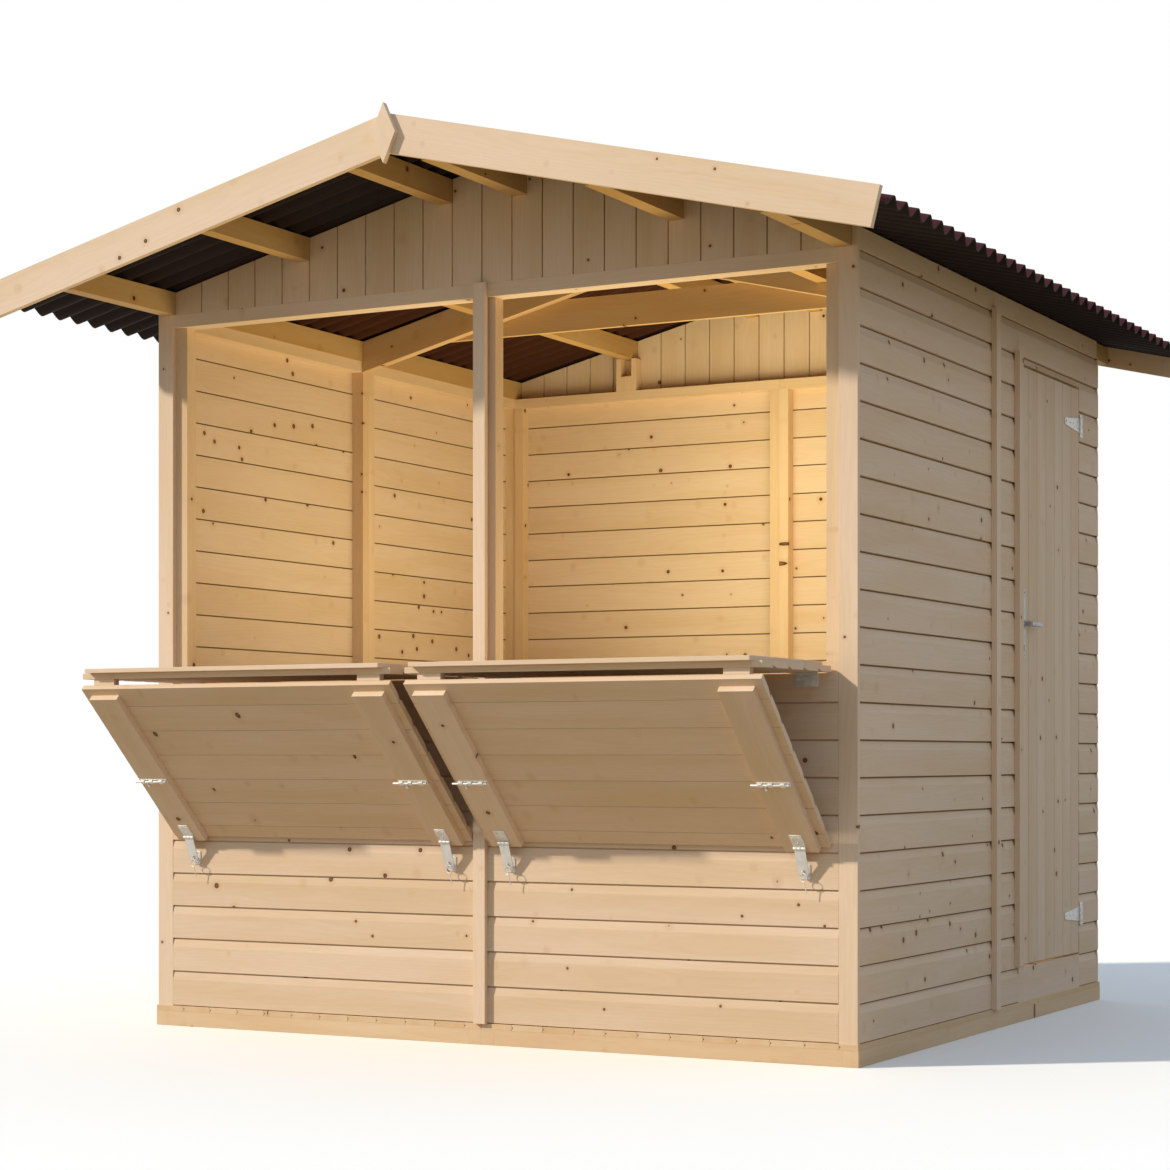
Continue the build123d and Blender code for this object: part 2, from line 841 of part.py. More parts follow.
# Tower bolts lie across the battens, each with a rod end and a hanging knob.
bolt_back = batten_face - seat_gap
bolt_face = bolt_back - bolt_thickness
bolt_middle = (bolt_back + bolt_face) / 2
with BuildPart() as shutter_bolts:
    for line in batten_lines:
        with BuildSketch(Plane.YZ.offset(line - bolt_length / 2)):
            with BuildLine():
                Polyline(
                    on_leaf(bolt_level - bolt_height / 2, bolt_back),
                    on_leaf(bolt_level + bolt_height / 2, bolt_back),
                    on_leaf(bolt_level + bolt_height / 2, bolt_face),
                    on_leaf(bolt_level - bolt_height / 2, bolt_face),
                    close=True,
                )
            make_face()
        extrude(amount=bolt_length)
        rod = on_leaf(bolt_level, bolt_middle)
        rod_start = line - bolt_length / 2 - bolt_rod_reach
        with BuildSketch(Plane(origin=(rod_start, rod[0], rod[1]), z_dir=(1, 0, 0))):
            Circle(bolt_rod_radius)
        extrude(amount=bolt_rod_reach + 1)
        knob = on_leaf(bolt_level + bolt_height / 2 - 1, bolt_middle)
        knob_line = line - bolt_length / 4
        knob_way = (0, leaf_down[0], leaf_down[1])
        with BuildSketch(Plane(origin=(knob_line, knob[0], knob[1]), z_dir=knob_way)):
            Circle(bolt_knob_radius)
        extrude(amount=bolt_knob_reach + 1)

# Hasps: a plate on the batten, a knuckle and a tail that hangs over a staple.
hasp_face = bolt_back - hasp_thickness
knuckle_centre = on_leaf(hasp_level, bolt_back - hasp_knuckle_radius)
tail_tilt = radians(hasp_tail_tilt)
tail_down = (sin(tail_tilt), -cos(tail_tilt))
tail_out = (cos(tail_tilt), sin(tail_tilt))
tail_middle = hasp_knuckle_radius + hasp_tail_length / 2 - 1
tail_origin = (
    knuckle_centre[0] - hasp_thickness / 2 * tail_out[0],
    knuckle_centre[1] - hasp_thickness / 2 * tail_out[1],
)
tail_end = hasp_knuckle_radius + hasp_tail_length - 1
with BuildPart() as shutter_hasps:
    for line in batten_lines:
        with BuildSketch(Plane.YZ.offset(line - hasp_width / 2)):
            with BuildLine():
                Polyline(
                    on_leaf(hasp_level - hasp_plate_length, bolt_back),
                    on_leaf(hasp_level, bolt_back),
                    on_leaf(hasp_level, hasp_face),
                    on_leaf(hasp_level - hasp_plate_length, hasp_face),
                    close=True,
                )
            make_face()
            with Locations(knuckle_centre):
                Circle(hasp_knuckle_radius)
        extrude(amount=hasp_width)
        tail_plane = Plane(
            origin=(line, tail_origin[0], tail_origin[1]),
            x_dir=(1, 0, 0),
            z_dir=(0, tail_out[0], tail_out[1]),
        )
        with BuildSketch(tail_plane):
            with Locations((0, tail_middle)):
                Rectangle(hasp_tail_width, hasp_tail_length)
            with Locations((0, tail_end)):
                Circle(hasp_tail_width / 2)
            with Locations((0, tail_end)):
                Circle(hasp_eye_radius, mode=Mode.SUBTRACT)
        extrude(amount=hasp_thickness)

staple_level = tail_origin[1] + tail_end * tail_down[1]
staple_face = front_face - seat_gap - staple_thickness
with BuildPart() as hasp_staples:
    for line in batten_lines:
        block(
            (line - staple_width / 2, line + staple_width / 2),
            (staple_face, staple_face + staple_thickness),
            (staple_level - staple_height / 2, staple_level + staple_height / 2),
        )
        with BuildSketch(Plane.XZ.offset(-staple_face)):
            with Locations((line, staple_level)):
                Circle(staple_pin_radius)
        extrude(amount=staple_reach)

# Wedge blocks carry the folded leaf under the counter's front edge.
wedge_out = board_thickness + seat_gap
wedge_front = on_leaf(0, wedge_out)
wedge_foot = on_leaf(shutter_block_depth, wedge_out)
block_lines = []
for side in (-1, 1):
    for edge in (-1, 1):
        reach = shutter_width / 2 - shutter_block_inset - shutter_block_width / 2
        block_lines.append(side * shutter_centre + edge * reach)
with BuildPart() as shutter_blocks:
    for line in block_lines:
        with BuildSketch(Plane.YZ.offset(line - shutter_block_width / 2)):
            with BuildLine():
                Polyline(
                    wedge_front,
                    wedge_foot,
                    (wedge_foot[0], counter_z[0] - seat_gap),
                    (wedge_front[0], counter_z[0] - seat_gap),
                    close=True,
                )
            make_face()
        extrude(amount=shutter_block_width)

# Butt hinges under the counters: one leaf on the cladding, one under the board.
counter_hinge_lines = []
for side in (-1, 1):
    for edge in (-1, 1):
        reach = shutter_width / 2 - counter_hinge_from_end
        counter_hinge_lines.append(side * shutter_centre + edge * reach)
hinge_face = front_face - seat_gap
hinge_under = counter_z[0] - seat_gap
with BuildPart() as counter_hinges:
    for line in counter_hinge_lines:
        across = (line - counter_hinge_width / 2, line + counter_hinge_width / 2)
        block(
            across,
            (hinge_face - counter_hinge_thickness, hinge_face),
            (sill_top - counter_hinge_height, hinge_under - counter_hinge_thickness),
        )
        block(
            across,
            (hinge_face - counter_hinge_reach, hinge_face),
            (hinge_under - counter_hinge_thickness, hinge_under),
        )

pieces = {
    "floor_bearers": floor_bearers,
    "floor_joists": floor_joists,
    "deck_left": deck_left,
    "deck_right": deck_right,
    "front_left_cladding": front_left_cladding,
    "front_right_cladding": front_right_cladding,
    "front_trims": front_trims,
    "front_headers": front_headers,
    "front_studs": front_studs,
    "sill_rails": sill_rails,
    "front_gable": front_gable,
    "back_left_cladding": back_left_cladding,
    "back_right_cladding": back_right_cladding,
    "back_gable": back_gable,
    "back_studs": back_studs,
    "left_front_cladding": left_front_cladding,
    "left_rear_cladding": left_rear_cladding,
    "right_front_cladding": right_front_cladding,
    "door_side_cladding": door_side_cladding,
    "door_rear_cladding": door_rear_cladding,
    "over_door_cladding": over_door_cladding,
    "under_door_board": under_door_board,
    "left_studs": left_studs,
    "right_studs": right_studs,
    "bottom_rails": bottom_rails,
    "top_rails": top_rails,
    "cover_strips": cover_strips,
    "purlins": purlins,
    "truss_rafters": truss_rafters,
    "truss_tie": truss_tie,
    "purlin_seats": purlin_seats,
    "roof_sheet_left": roof_sheet_left,
    "roof_sheet_right": roof_sheet_right,
    "ridge_cap": ridge_cap,
    "barge_boards_left": barge_boards_left,
    "barge_boards_right": barge_boards_right,
    "finials": finials,
    "door_leaf": door_leaf,
    "door_ledges": door_ledges,
    "door_straps": door_straps,
    "hinge_plates": hinge_plates,
    "door_handle": door_handle,
    "counter_left": counter_left,
    "counter_right": counter_right,
    "counter_tops": counter_tops,
    "shutter_left": shutter_left,
    "shutter_right": shutter_right,
    "shutter_battens": shutter_battens,
    "shutter_bolts": shutter_bolts,
    "shutter_hasps": shutter_hasps,
    "hasp_staples": hasp_staples,
    "shutter_blocks": shutter_blocks,
    "counter_hinges": counter_hinges,
}

os.makedirs("parts", exist_ok=True)
for name, piece in pieces.items():
    piece.part.label = name
    export_step(piece.part, f"parts/{name}.step")
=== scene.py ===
"""Looks of the wooden market hut: boarded walls, folding shutters, corrugated roof and hardware.

Sizes are in millimetres, in the part's own frame, and every mesh is written in metres.
"""

import json
import logging
import math
import random
from dataclasses import dataclass
from enum import Enum
from typing import Optional

import bmesh
import bpy
from mathutils import Matrix, Vector

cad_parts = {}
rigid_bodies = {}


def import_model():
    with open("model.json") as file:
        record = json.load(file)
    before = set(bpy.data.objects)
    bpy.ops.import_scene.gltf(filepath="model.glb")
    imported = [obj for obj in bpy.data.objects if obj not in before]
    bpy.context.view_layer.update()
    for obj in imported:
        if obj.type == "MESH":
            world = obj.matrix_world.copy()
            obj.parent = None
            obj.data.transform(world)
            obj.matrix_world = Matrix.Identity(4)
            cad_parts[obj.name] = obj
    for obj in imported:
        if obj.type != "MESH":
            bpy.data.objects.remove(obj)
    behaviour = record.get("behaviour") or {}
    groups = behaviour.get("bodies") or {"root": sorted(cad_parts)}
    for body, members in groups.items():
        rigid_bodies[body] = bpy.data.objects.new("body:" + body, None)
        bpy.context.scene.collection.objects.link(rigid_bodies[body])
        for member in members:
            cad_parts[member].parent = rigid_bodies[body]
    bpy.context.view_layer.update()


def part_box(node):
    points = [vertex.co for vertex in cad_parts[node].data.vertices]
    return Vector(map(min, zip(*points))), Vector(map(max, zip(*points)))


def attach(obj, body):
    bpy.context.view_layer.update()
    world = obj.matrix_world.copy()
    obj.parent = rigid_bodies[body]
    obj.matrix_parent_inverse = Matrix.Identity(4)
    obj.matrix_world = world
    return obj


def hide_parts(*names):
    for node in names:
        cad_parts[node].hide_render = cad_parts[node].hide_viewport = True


MM = 0.001
HUT = "hut"
DOOR = "door"
# A board whose tone lies this low is the bottom of a joint, drawn in the dark joint colour as
# painted shade.
JOINT_SHADE_TONE = -20.0
# Settings of two nodes that every finish uses: a soft step, and a mix of two colours.
SMOOTH = {"interpolation_type": "SMOOTHSTEP"}
COLOURS = {"out": 2, "data_type": "RGBA"}
log = logging.getLogger("market_hut")

Point = tuple[float, float, float]
Pair = tuple[float, float]
Colour = tuple[float, float, float, float]
Mesh = bmesh.types.BMesh
Socket = bpy.types.NodeSocket


class Axis(Enum):
    """The three directions of the part's frame."""

    X = 0
    Y = 1
    Z = 2


class Slot(Enum):
    """Material slots of the record."""

    FRONT = "pine_front"
    FRAME = "pine_frame"
    BITUMEN = "bitumen_sheet"
    ZINC = "zinc_steel"
    HANDLE = "handle_metal"


def linear(code: str) -> Colour:
    """Turn an sRGB hex code into a linear colour.

    Args:
        code: six hex digits.

    Returns:
        Red, green, blue and alpha in linear light.
    """
    values = [int(code[i : i + 2], 16) / 255 for i in (0, 2, 4)]
    light = [v / 12.92 if v <= 0.04045 else ((v + 0.055) / 1.055) ** 2.4 for v in values]
    return (light[0], light[1], light[2], 1.0)


def per_metre(size: Point) -> Point:
    """Turn a pattern's real size on each axis, in mm, into repeats per metre."""
    return (1 / (size[0] * MM), 1 / (size[1] * MM), 1 / (size[2] * MM))


class NodeTree:
    """The node tree of a material or of the world, filled node by node."""

    def __init__(self, owner: bpy.types.ID) -> None:
        """Start an empty tree.

        Args:
            owner: the material or the world.
        """
        owner.use_nodes = True
        self.tree = owner.node_tree
        self.tree.nodes.clear()

    def add(
        self, kind: str, inputs: dict | tuple = (), out: int | str = 0, **settings: object
    ) -> Optional[Socket]:
        """Add one node with its settings and its input values or links.

        Args:
            kind: the node's type without its prefix.
            inputs: values or links, in the order of the sockets or by their name or number.
            out: name or number of the output that is wanted.
            settings: the node's properties.

        Returns:
            The output, or None where the node has none.
        """
        node = self.tree.nodes.new("ShaderNode" + kind)
        for name, value in settings.items():
            setattr(node, name, value)
        for name, value in inputs.items() if isinstance(inputs, dict) else enumerate(inputs):
            if isinstance(value, Socket):
                self.tree.links.new(value, node.inputs[name])
            else:
                node.inputs[name].default_value = value
        return node.outputs[out] if node.outputs else None

    def backdrop_rays(self) -> Socket:
        """Pick out the camera's, mirrors' and glass's rays, which see the white backdrop.

        Returns:
            1 for such a ray, 0 for the light's own.
        """
        path = self.add("LightPath").node.outputs
        picked = path["Is Camera Ray"]
        for ray in ("Is Glossy Ray", "Is Transmission Ray"):
            picked = self.add("Math", (picked, path[ray]), operation="MAXIMUM")
        return picked


class FinishTree(NodeTree):
    """The node tree of a material, closed with its shader."""

    def __init__(self, name: str) -> None:
        """Start a material.

        Args:
            name: its name.
        """
        self.material = bpy.data.materials.new(name)
        super().__init__(self.material)

    def surface(self, inputs: dict) -> bpy.types.Material:
        """Add the shader and the output.

        Args:
            inputs: the shader's sockets, each with a value or a link.

        Returns:
            The material.
        """
        self.add("OutputMaterial", (self.add("BsdfPrincipled", inputs),))
        return self.material


@dataclass(frozen=True)
class PineFinish:
    """Planed, untreated pine: matt pale wood with fine rings and small dark knots.

    The rings of such boards lie 2 to 4 mm apart and the fibres are finer than a millimetre. Both
    are drawn coarser, so that they show.
    """

    name: str
    early_wood: str = "e2c8ad"
    late_wood: str = "c0966c"
    heart_wood: str = "d8ba92"
    # Painted shade: colour of the tongues deep in the joints, standing in for the shade there.
    joint: str = "7a6140"
    knot_ring: str = "4a2f1c"
    knot_core: str = "8a5c36"
    ring_spacing: float = 7.0
    ring_share: float = 0.07
    ring_rise: Pair = (0.25, 0.86)
    ring_fall: Pair = (0.9, 1.0)
    sway: Point = (333.3333, 333.3333, 909.0909)
    sway_reach: float = 75.0
    wobble: Point = (33.33333, 33.33333, 250.0)
    wobble_reach: float = 6.0
    knot_push: float = 8.0
    patch: Point = (71.42857, 71.42857, 625.0)
    patch_range: Pair = (0.35, 0.7)
    patch_share: float = 0.55
    fibre: Point = (1.111111, 1.111111, 45.45455)
    fibre_range: Pair = (0.35, 0.65)
    fibre_share: float = 0.12
    halo: Pair = (0.9, 3.4)
    halo_share: float = 0.28
    knot_cell: float = 74.0
    knot_share: float = 0.8
    knot_radius: float = 3.33
    knot_growth: float = 4.81
    knot_skew: float = 1.6
    knot_stretch: Point = (1.0, 0.25, 1.0)
    knot_edge: Pair = (0.85, 1.1)
    knot_bark: Pair = (0.35, 0.8)
    no_knot: float = 50.0
    knot_ragged: float = 0.888
    ragged_size: float = 3.846154
    tone_value: float = 0.07
    tone_saturation: float = -0.08
    relief: float = 0.2
    relief_strength: float = 0.25
    relief_shares: Pair = (0.6, 0.4)
    roughness: float = 0.62
    ior: float = 1.45
    gloss: float = 0.3

    def build(self) -> bpy.types.Material:
        """Make the material: rings around a pith, knots that bend them, a tone per board, and
        painted shade on joint tongues.

        Returns:
            The material.
        """
        n = FinishTree(self.name)
        grain = n.add("Attribute", out="Vector", attribute_name="grain")
        tone = n.add("Attribute", out="Fac", attribute_name="tone")
        away = self.knots(n, grain)
        halo = n.add("MapRange", (away, *self.halo, 1.0, 0.0), **SMOOTH)
        rings = self.rings(n, grain, halo)
        fibre = self.drawn_out(n, grain, self.fibre, 2.0)
        wood = self.wood(n, grain, (rings, fibre, halo))
        wood = self.with_knots(n, wood, away)
        steps = {}
        for name, share in (("Value", self.tone_value), ("Saturation", self.tone_saturation)):
            steps[name] = n.add("Math", (tone, share, 1.0), operation="MULTIPLY_ADD")
        toned = n.add("HueSaturation", {"Color": wood, **steps})
        # Painted shade: a tongue with a very low tone takes the dark joint colour.
        in_joint_shade = n.add("Math", (tone, JOINT_SHADE_TONE / 2), operation="LESS_THAN")
        joint = {0: in_joint_shade, 6: toned, 7: linear(self.joint)}
        by_rings, by_fibre = self.relief_shares
        fine = n.add("Math", (fibre, by_fibre), operation="MULTIPLY")
        height = n.add("Math", (rings, by_rings, fine), operation="MULTIPLY_ADD")
        bump = {"Strength": self.relief_strength, "Distance": self.relief * MM, "Height": height}
        rough = (fibre, self.fibre_share, self.roughness)
        return n.surface(
            {
                "Base Color": n.add("Mix", joint, **COLOURS),
                "Roughness": n.add("Math", rough, operation="MULTIPLY_ADD"),
                "Normal": n.add("Bump", bump),
                "IOR": self.ior,
                "Specular IOR Level": self.gloss,
            }
        )

    @staticmethod
    def drawn_out(n: FinishTree, grain: Socket, size: Point, detail: float) -> Socket:
        """Soft noise that is drawn out along the grain.

        Args:
            n: the tree.
            grain: board coordinates.
            size: size of its features on each axis, in mm.
            detail: octaves.

        Returns:
            The noise, from 0 to 1.
        """
        place = n.add("Mapping", {"Vector": grain, "Scale": per_metre(size)})
        return n.add("TexNoise", {"Vector": place, "Scale": 1.0, "Detail": detail})

    def rings(self, n: FinishTree, grain: Socket, halo: Socket) -> Socket:
        """Growth rings around the pith, bent outwards by the knots.

        Args:
            n: the tree.
            grain: board coordinates, the pith on the third axis.
            halo: nearness to a knot, from 0 to 1.

        Returns:
            0 in early wood, 1 in late wood.
        """
        flat = n.add("VectorMath", (grain, (1.0, 1.0, 0.0)), operation="MULTIPLY")
        radius = n.add("VectorMath", (flat,), "Value", operation="LENGTH")
        sway = self.drawn_out(n, grain, self.sway, 2.0)
        wobble = self.drawn_out(n, grain, self.wobble, 2.0)
        pushes = ((sway, self.sway_reach), (wobble, self.wobble_reach), (halo, self.knot_push))
        for push, reach in pushes:
            radius = n.add("Math", (push, reach * MM, radius), operation="MULTIPLY_ADD")
        turns = n.add("Math", (radius, self.ring_spacing * MM), operation="DIVIDE")
        phase = n.add("Math", (turns,), operation="FRACT")
        rise = n.add("MapRange", (phase, *self.ring_rise, 0.0, 1.0), **SMOOTH)
        fall = n.add("MapRange", (phase, *self.ring_fall, 1.0, 0.0), **SMOOTH)
        return n.add("Math", (rise, fall), operation="MULTIPLY")

    def knots(self, n: FinishTree, grain: Socket) -> Socket:
        """Scattered knots of random size.

        Args:
            n: the tree.
            grain: board coordinates.

        Returns:
            Distance from the knot's centre, in knot radii.
        """
        place = n.add("Mapping", {"Vector": grain, "Scale": self.knot_stretch})
        cells = {"Vector": place, "Scale": 1 / (self.knot_cell * MM), "Randomness": 1.0}
        centre = n.add("TexVoronoi", cells, "Distance", feature="F1")
        chance = n.add("SeparateColor", (centre.node.outputs["Color"],)).node.outputs
        missing = n.add("Math", (chance[0], self.knot_share), operation="GREATER_THAN")
        small = n.add("Math", (chance[1], self.knot_skew), operation="POWER")
        growth = (small, self.knot_growth / self.knot_cell, self.knot_radius / self.knot_cell)
        radius = n.add("Math", growth, operation="MULTIPLY_ADD")
        rough = {"Vector": grain, "Scale": 1 / (self.ragged_size * MM), "Detail": 2.0}
        ragged = (n.add("TexNoise", rough), -self.knot_ragged / self.knot_cell, centre)
        distance = n.add("Math", ragged, operation="MULTIPLY_ADD")
        away = n.add("Math", (distance, radius), operation="DIVIDE")
        return n.add("Math", (missing, self.no_knot, away), operation="MULTIPLY_ADD")

    def wood(self, n: FinishTree, grain: Socket, marks: tuple[Socket, ...]) -> Socket:
        """Colour of the wood between its knots.

        Args:
            n: the tree.
            grain: board coordinates.
            marks: the rings, the fibres and the nearness to a knot, each from 0 to 1.

        Returns:
            The colour.
        """
        rings, fibre, halo = marks
        cloud = self.drawn_out(n, grain, self.patch, 3.0)
        patch = (cloud, *self.patch_range, 0.0, self.patch_share)
        heart = n.add("MapRange", patch, **SMOOTH)
        colours = {0: heart, 6: linear(self.early_wood), 7: linear(self.heart_wood)}
        wood = n.add("Mix", colours, **COLOURS)
        fine = (fibre, *self.fibre_range, self.fibre_share, 0.0)
        shares = (
            n.add("Math", (rings, self.ring_share), operation="MULTIPLY"),
            n.add("MapRange", fine, **SMOOTH),
            n.add("Math", (halo, self.halo_share), operation="MULTIPLY"),
        )
        for share in shares:
            colours = {0: share, 6: wood, 7: linear(self.late_wood)}
            wood = n.add("Mix", colours, **COLOURS)
        return wood

    def with_knots(self, n: FinishTree, wood: Socket, away: Socket) -> Socket:
        """Lay the knots over the wood: a brown core inside a dark bark ring.

        Args:
            n: the tree.
            wood: colour of the wood around.
            away: distance in knot radii.

        Returns:
            The colour with the knots.
        """
        inside = n.add("MapRange", (away, *self.knot_edge, 1.0, 0.0), **SMOOTH)
        bark = n.add("MapRange", (away, *self.knot_bark, 0.0, 1.0), **SMOOTH)
        colours = {0: bark, 6: linear(self.knot_core), 7: linear(self.knot_ring)}
        knot = n.add("Mix", colours, **COLOURS)
        return n.add("Mix", {0: inside, 6: wood, 7: knot}, **COLOURS)


@dataclass(frozen=True)
class BitumenFinish:
    """Pressed bitumen fibre sheet: matt, deep oxide red on top, fibrous black brown below.

    Over the room its underside is painted lighter and warmer, as painted light standing in for the
    warm light that the boards throw on it.
    """

    name: str = "bitumen_fibre_sheet"
    top: str = "431521"
    worn: str = "4d1d28"
    under: str = "20150e"
    # Painted light: colour of the underside over the room.
    under_room_painted_light: str = "3d2216"
    room_middle: float = 151.0
    room_half: float = 1015.0
    room_side: float = 1080.0
    room_fade: float = 20.0
    speck: float = 2.380952
    cloud: float = 200.0
    wear: Pair = (0.4, 0.7)
    wear_share: float = 0.6
    pores: Pair = (0.45, 0.7)
    pore_share: float = 0.35
    upper: Pair = (0.0, 0.12)
    relief: float = 0.6
    relief_strength: float = 0.5
    roughness: float = 0.68
    rough_share: float = 0.2
    gloss: float = 0.18

    def build(self) -> bpy.types.Material:
        """Make the material, coloured by which way the face looks.

        Returns:
            The material.
        """
        n = FinishTree(self.name)
        place = n.add("TexCoord", out="Object")
        speck, cloud = [
            n.add("TexNoise", {"Vector": place, "Scale": 1 / (size * MM), "Detail": 3.0})
            for size in (self.speck, self.cloud)
        ]
        wear = n.add("MapRange", (cloud, *self.wear, 0.0, self.wear_share), **SMOOTH)
        colours = {0: wear, 6: linear(self.top), 7: linear(self.worn)}
        top = n.add("Mix", colours, **COLOURS)
        pores = n.add("MapRange", (speck, *self.pores, self.pore_share, 0.0), **SMOOTH)
        top = n.add("Mix", {0: pores, 6: top, 7: linear(self.under)}, **COLOURS)
        # Painted light: over the room the underside is lighter and warmer, for the light the
        # boards throw up.
        room = self.painted_light_over_room(n, place)
        colours = {0: room, 6: linear(self.under), 7: linear(self.under_room_painted_light)}
        under = n.add("Mix", colours, **COLOURS)
        up = n.add("SeparateXYZ", (n.add("NewGeometry", out="Normal"),), 2)
        upper = n.add("MapRange", (up, *self.upper, 0.0, 1.0), **SMOOTH)
        rough = (speck, self.rough_share, self.roughness)
        bump = {"Strength": self.relief_strength, "Distance": self.relief * MM, "Height": speck}
        return n.surface(
            {
                "Base Color": n.add("Mix", {0: upper, 6: under, 7: top}, **COLOURS),
                "Roughness": n.add("Math", rough, operation="MULTIPLY_ADD"),
                "Normal": n.add("Bump", bump),
                "Specular IOR Level": self.gloss,
            }
        )

    def painted_light_over_room(self, n: FinishTree, place: Socket) -> Socket:
        """Tell the sheet over the room from its overhang, for the painted light on its underside.

        Args:
            n: the tree.
            place: object coordinates.

        Returns:
            1 over the room, 0 over the outside.
        """
        spot = n.add("SeparateXYZ", (place,)).node.outputs
        shift = n.add("Math", (spot[1], self.room_middle * MM), operation="SUBTRACT")
        within = []
        for line, half in ((shift, self.room_half), (spot[0], self.room_side)):
            away = n.add("Math", (line,), operation="ABSOLUTE")
            reach = (away, half * MM, (half + self.room_fade) * MM, 1.0, 0.0)
            within.append(n.add("MapRange", reach, **SMOOTH))
        return n.add("Math", tuple(within), operation="MULTIPLY")


@dataclass(frozen=True)
class SteelFinish:
    """Zinc plated pressed steel: bright satin grey with soft crystalline blotches.

    It is drawn partly metallic, so that it stays light where it mirrors only the shaded boards.
    """

    name: str
    bright: str = "d6d2cb"
    dull: str = "c3c1be"
    blotch: float = 16.66667
    grit: float = 1.111111
    dull_range: Pair = (0.4, 0.62)
    dull_share: float = 0.5
    relief: float = 0.1
    relief_strength: float = 0.06
    roughness: float = 0.45
    rough_share: float = 0.06
    metallic: float = 0.4

    def build(self) -> bpy.types.Material:
        """Make the plated metal.

        Returns:
            The material.
        """
        n = FinishTree(self.name)
        place = n.add("TexCoord", out="Object")
        blotch, fine = [
            n.add("TexNoise", {"Vector": place, "Scale": 1 / (size * MM), "Detail": detail})
            for size, detail in ((self.blotch, 1.0), (self.grit, 2.0))
        ]
        dull = n.add("MapRange", (blotch, *self.dull_range, 0.0, self.dull_share), **SMOOTH)
        colours = {0: dull, 6: linear(self.bright), 7: linear(self.dull)}
        rough = (blotch, self.rough_share, self.roughness)
        bump = {"Strength": self.relief_strength, "Distance": self.relief * MM, "Height": fine}
        return n.surface(
            {
                "Base Color": n.add("Mix", colours, **COLOURS),
                "Roughness": n.add("Math", rough, operation="MULTIPLY_ADD"),
                "Normal": n.add("Bump", bump),
                "Metallic": self.metallic,
            }
        )


class Palette:
    """The hut's finishes, each made once, and the way every piece is dressed and placed."""

    SHARP = math.radians(34)

    def __init__(self) -> None:
        """Build every material."""
        framing = PineFinish(
            "planed_pine_framing", early_wood="dfc19b", late_wood="bd9060", heart_wood="d3ae82"
        )
        lacquer = SteelFinish(
            "grey_lacquered_handle", bright="a9aaa9", dull="8f8f8e", roughness=0.42
        )
        self.materials: dict[Slot, bpy.types.Material] = {
            Slot.FRONT: PineFinish("planed_pine_boards").build(),
            Slot.FRAME: framing.build(),
            Slot.BITUMEN: BitumenFinish().build(),
            Slot.ZINC: SteelFinish("zinc_plated_steel").build(),
            Slot.HANDLE: lacquer.build(),
        }

    def place(
        self,
        name: str,
        mesh: Mesh,
        slot: Slot,
        nodes: tuple[str, ...],
        body: str = HUT,
        smooth: bool = False,
    ) -> None:
        """Write a piece as a dressed object, and say what it replaces and rides on.

        Args:
            name: the piece's name.
            mesh: its mesh, freed here.
            slot: its material slot.
            nodes: CAD nodes that it stands for.
            body: the CAD body that it rides on.
            smooth: whether its curved faces are shaded as one.
        """
        bmesh.ops.recalc_face_normals(mesh, faces=mesh.faces)
        for face in mesh.faces:
            face.smooth = smooth
        data = bpy.data.meshes.new(name)
        mesh.to_mesh(data)
        mesh.free()
        if smooth:
            data.set_sharp_from_angle(angle=self.SHARP)
        data.materials.append(self.materials[slot])
        obj = bpy.data.objects.new(name, data)
        bpy.context.scene.collection.objects.link(obj)
        if nodes:
            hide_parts(*nodes)
        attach(obj, body)
        log.info("piece %s", name)


def limits(node: str) -> tuple[list[float], list[float]]:
    """Lowest and highest corner of a CAD node, in mm."""
    low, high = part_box(node)
    return [c / MM for c in low], [c / MM for c in high]


def rectangle(first: Pair, second: Pair) -> list[Pair]:
    """Corners of the rectangle between two ranges."""
    return [
        (first[0], second[0]),
        (first[1], second[0]),
        (first[1], second[1]),
        (first[0], second[1]),
    ]


def sweep(mesh: Mesh, faces: list[bmesh.types.BMFace], step: Vector) -> None:
    """Draw flat faces out into a solid.

    Args:
        mesh: the mesh.
        faces: its flat faces.
        step: where they are drawn to.
    """
    swept = bmesh.ops.extrude_face_region(mesh, geom=faces, use_keep_orig=True)
    moved = [g for g in swept["geom"] if isinstance(g, bmesh.types.BMVert)]
    bmesh.ops.translate(mesh, verts=moved, vec=step)


def ease(mesh: Mesh, edges: list[bmesh.types.BMEdge], offset: float, segments: int = 2) -> None:
    """Round some edges of a shape.

    Args:
        mesh: the mesh.
        edges: the edges.
        offset: how far the rounding reaches.
        segments: facets across it.
    """
    bmesh.ops.bevel(
        mesh,
        geom=edges,
        offset=offset,
        offset_type="OFFSET",
        segments=segments,
        profile=0.5,
        affect="EDGES",
        material=-1,
        clamp_overlap=True,
    )


def whole(node: str) -> Mesh:
    """Copy a CAD node's mesh, merged and with its flat faces in one piece.

    Args:
        node: the CAD node, left as it is.

    Returns:
        The copy.
    """
    mesh = bmesh.new()
    mesh.from_mesh(bpy.data.objects[node].data)
    bmesh.ops.remove_doubles(mesh, verts=mesh.verts, dist=0.02 * MM)
    bmesh.ops.dissolve_limit(
        mesh, angle_limit=math.radians(1), verts=mesh.verts, edges=mesh.edges
    )
    return mesh


def trim(mesh: Mesh, place: float, side: int) -> None:
    """Cut a mesh across X and close the cut.

    Args:
        mesh: the mesh.
        place: where the cut lies, in mm.
        side: 1 removes what lies beyond it, -1 what lies before it.
    """
    cut = bmesh.ops.bisect_plane(
        mesh,
        geom=[*mesh.verts, *mesh.edges, *mesh.faces],
        plane_co=(place * MM, 0, 0),
        plane_no=(side, 0, 0),
        clear_outer=True,
    )
    edges = [g for g in cut["geom_cut"] if isinstance(g, bmesh.types.BMEdge)]
    bmesh.ops.holes_fill(mesh, edges=edges)
    bmesh.ops.recalc_face_normals(mesh, faces=mesh.faces)


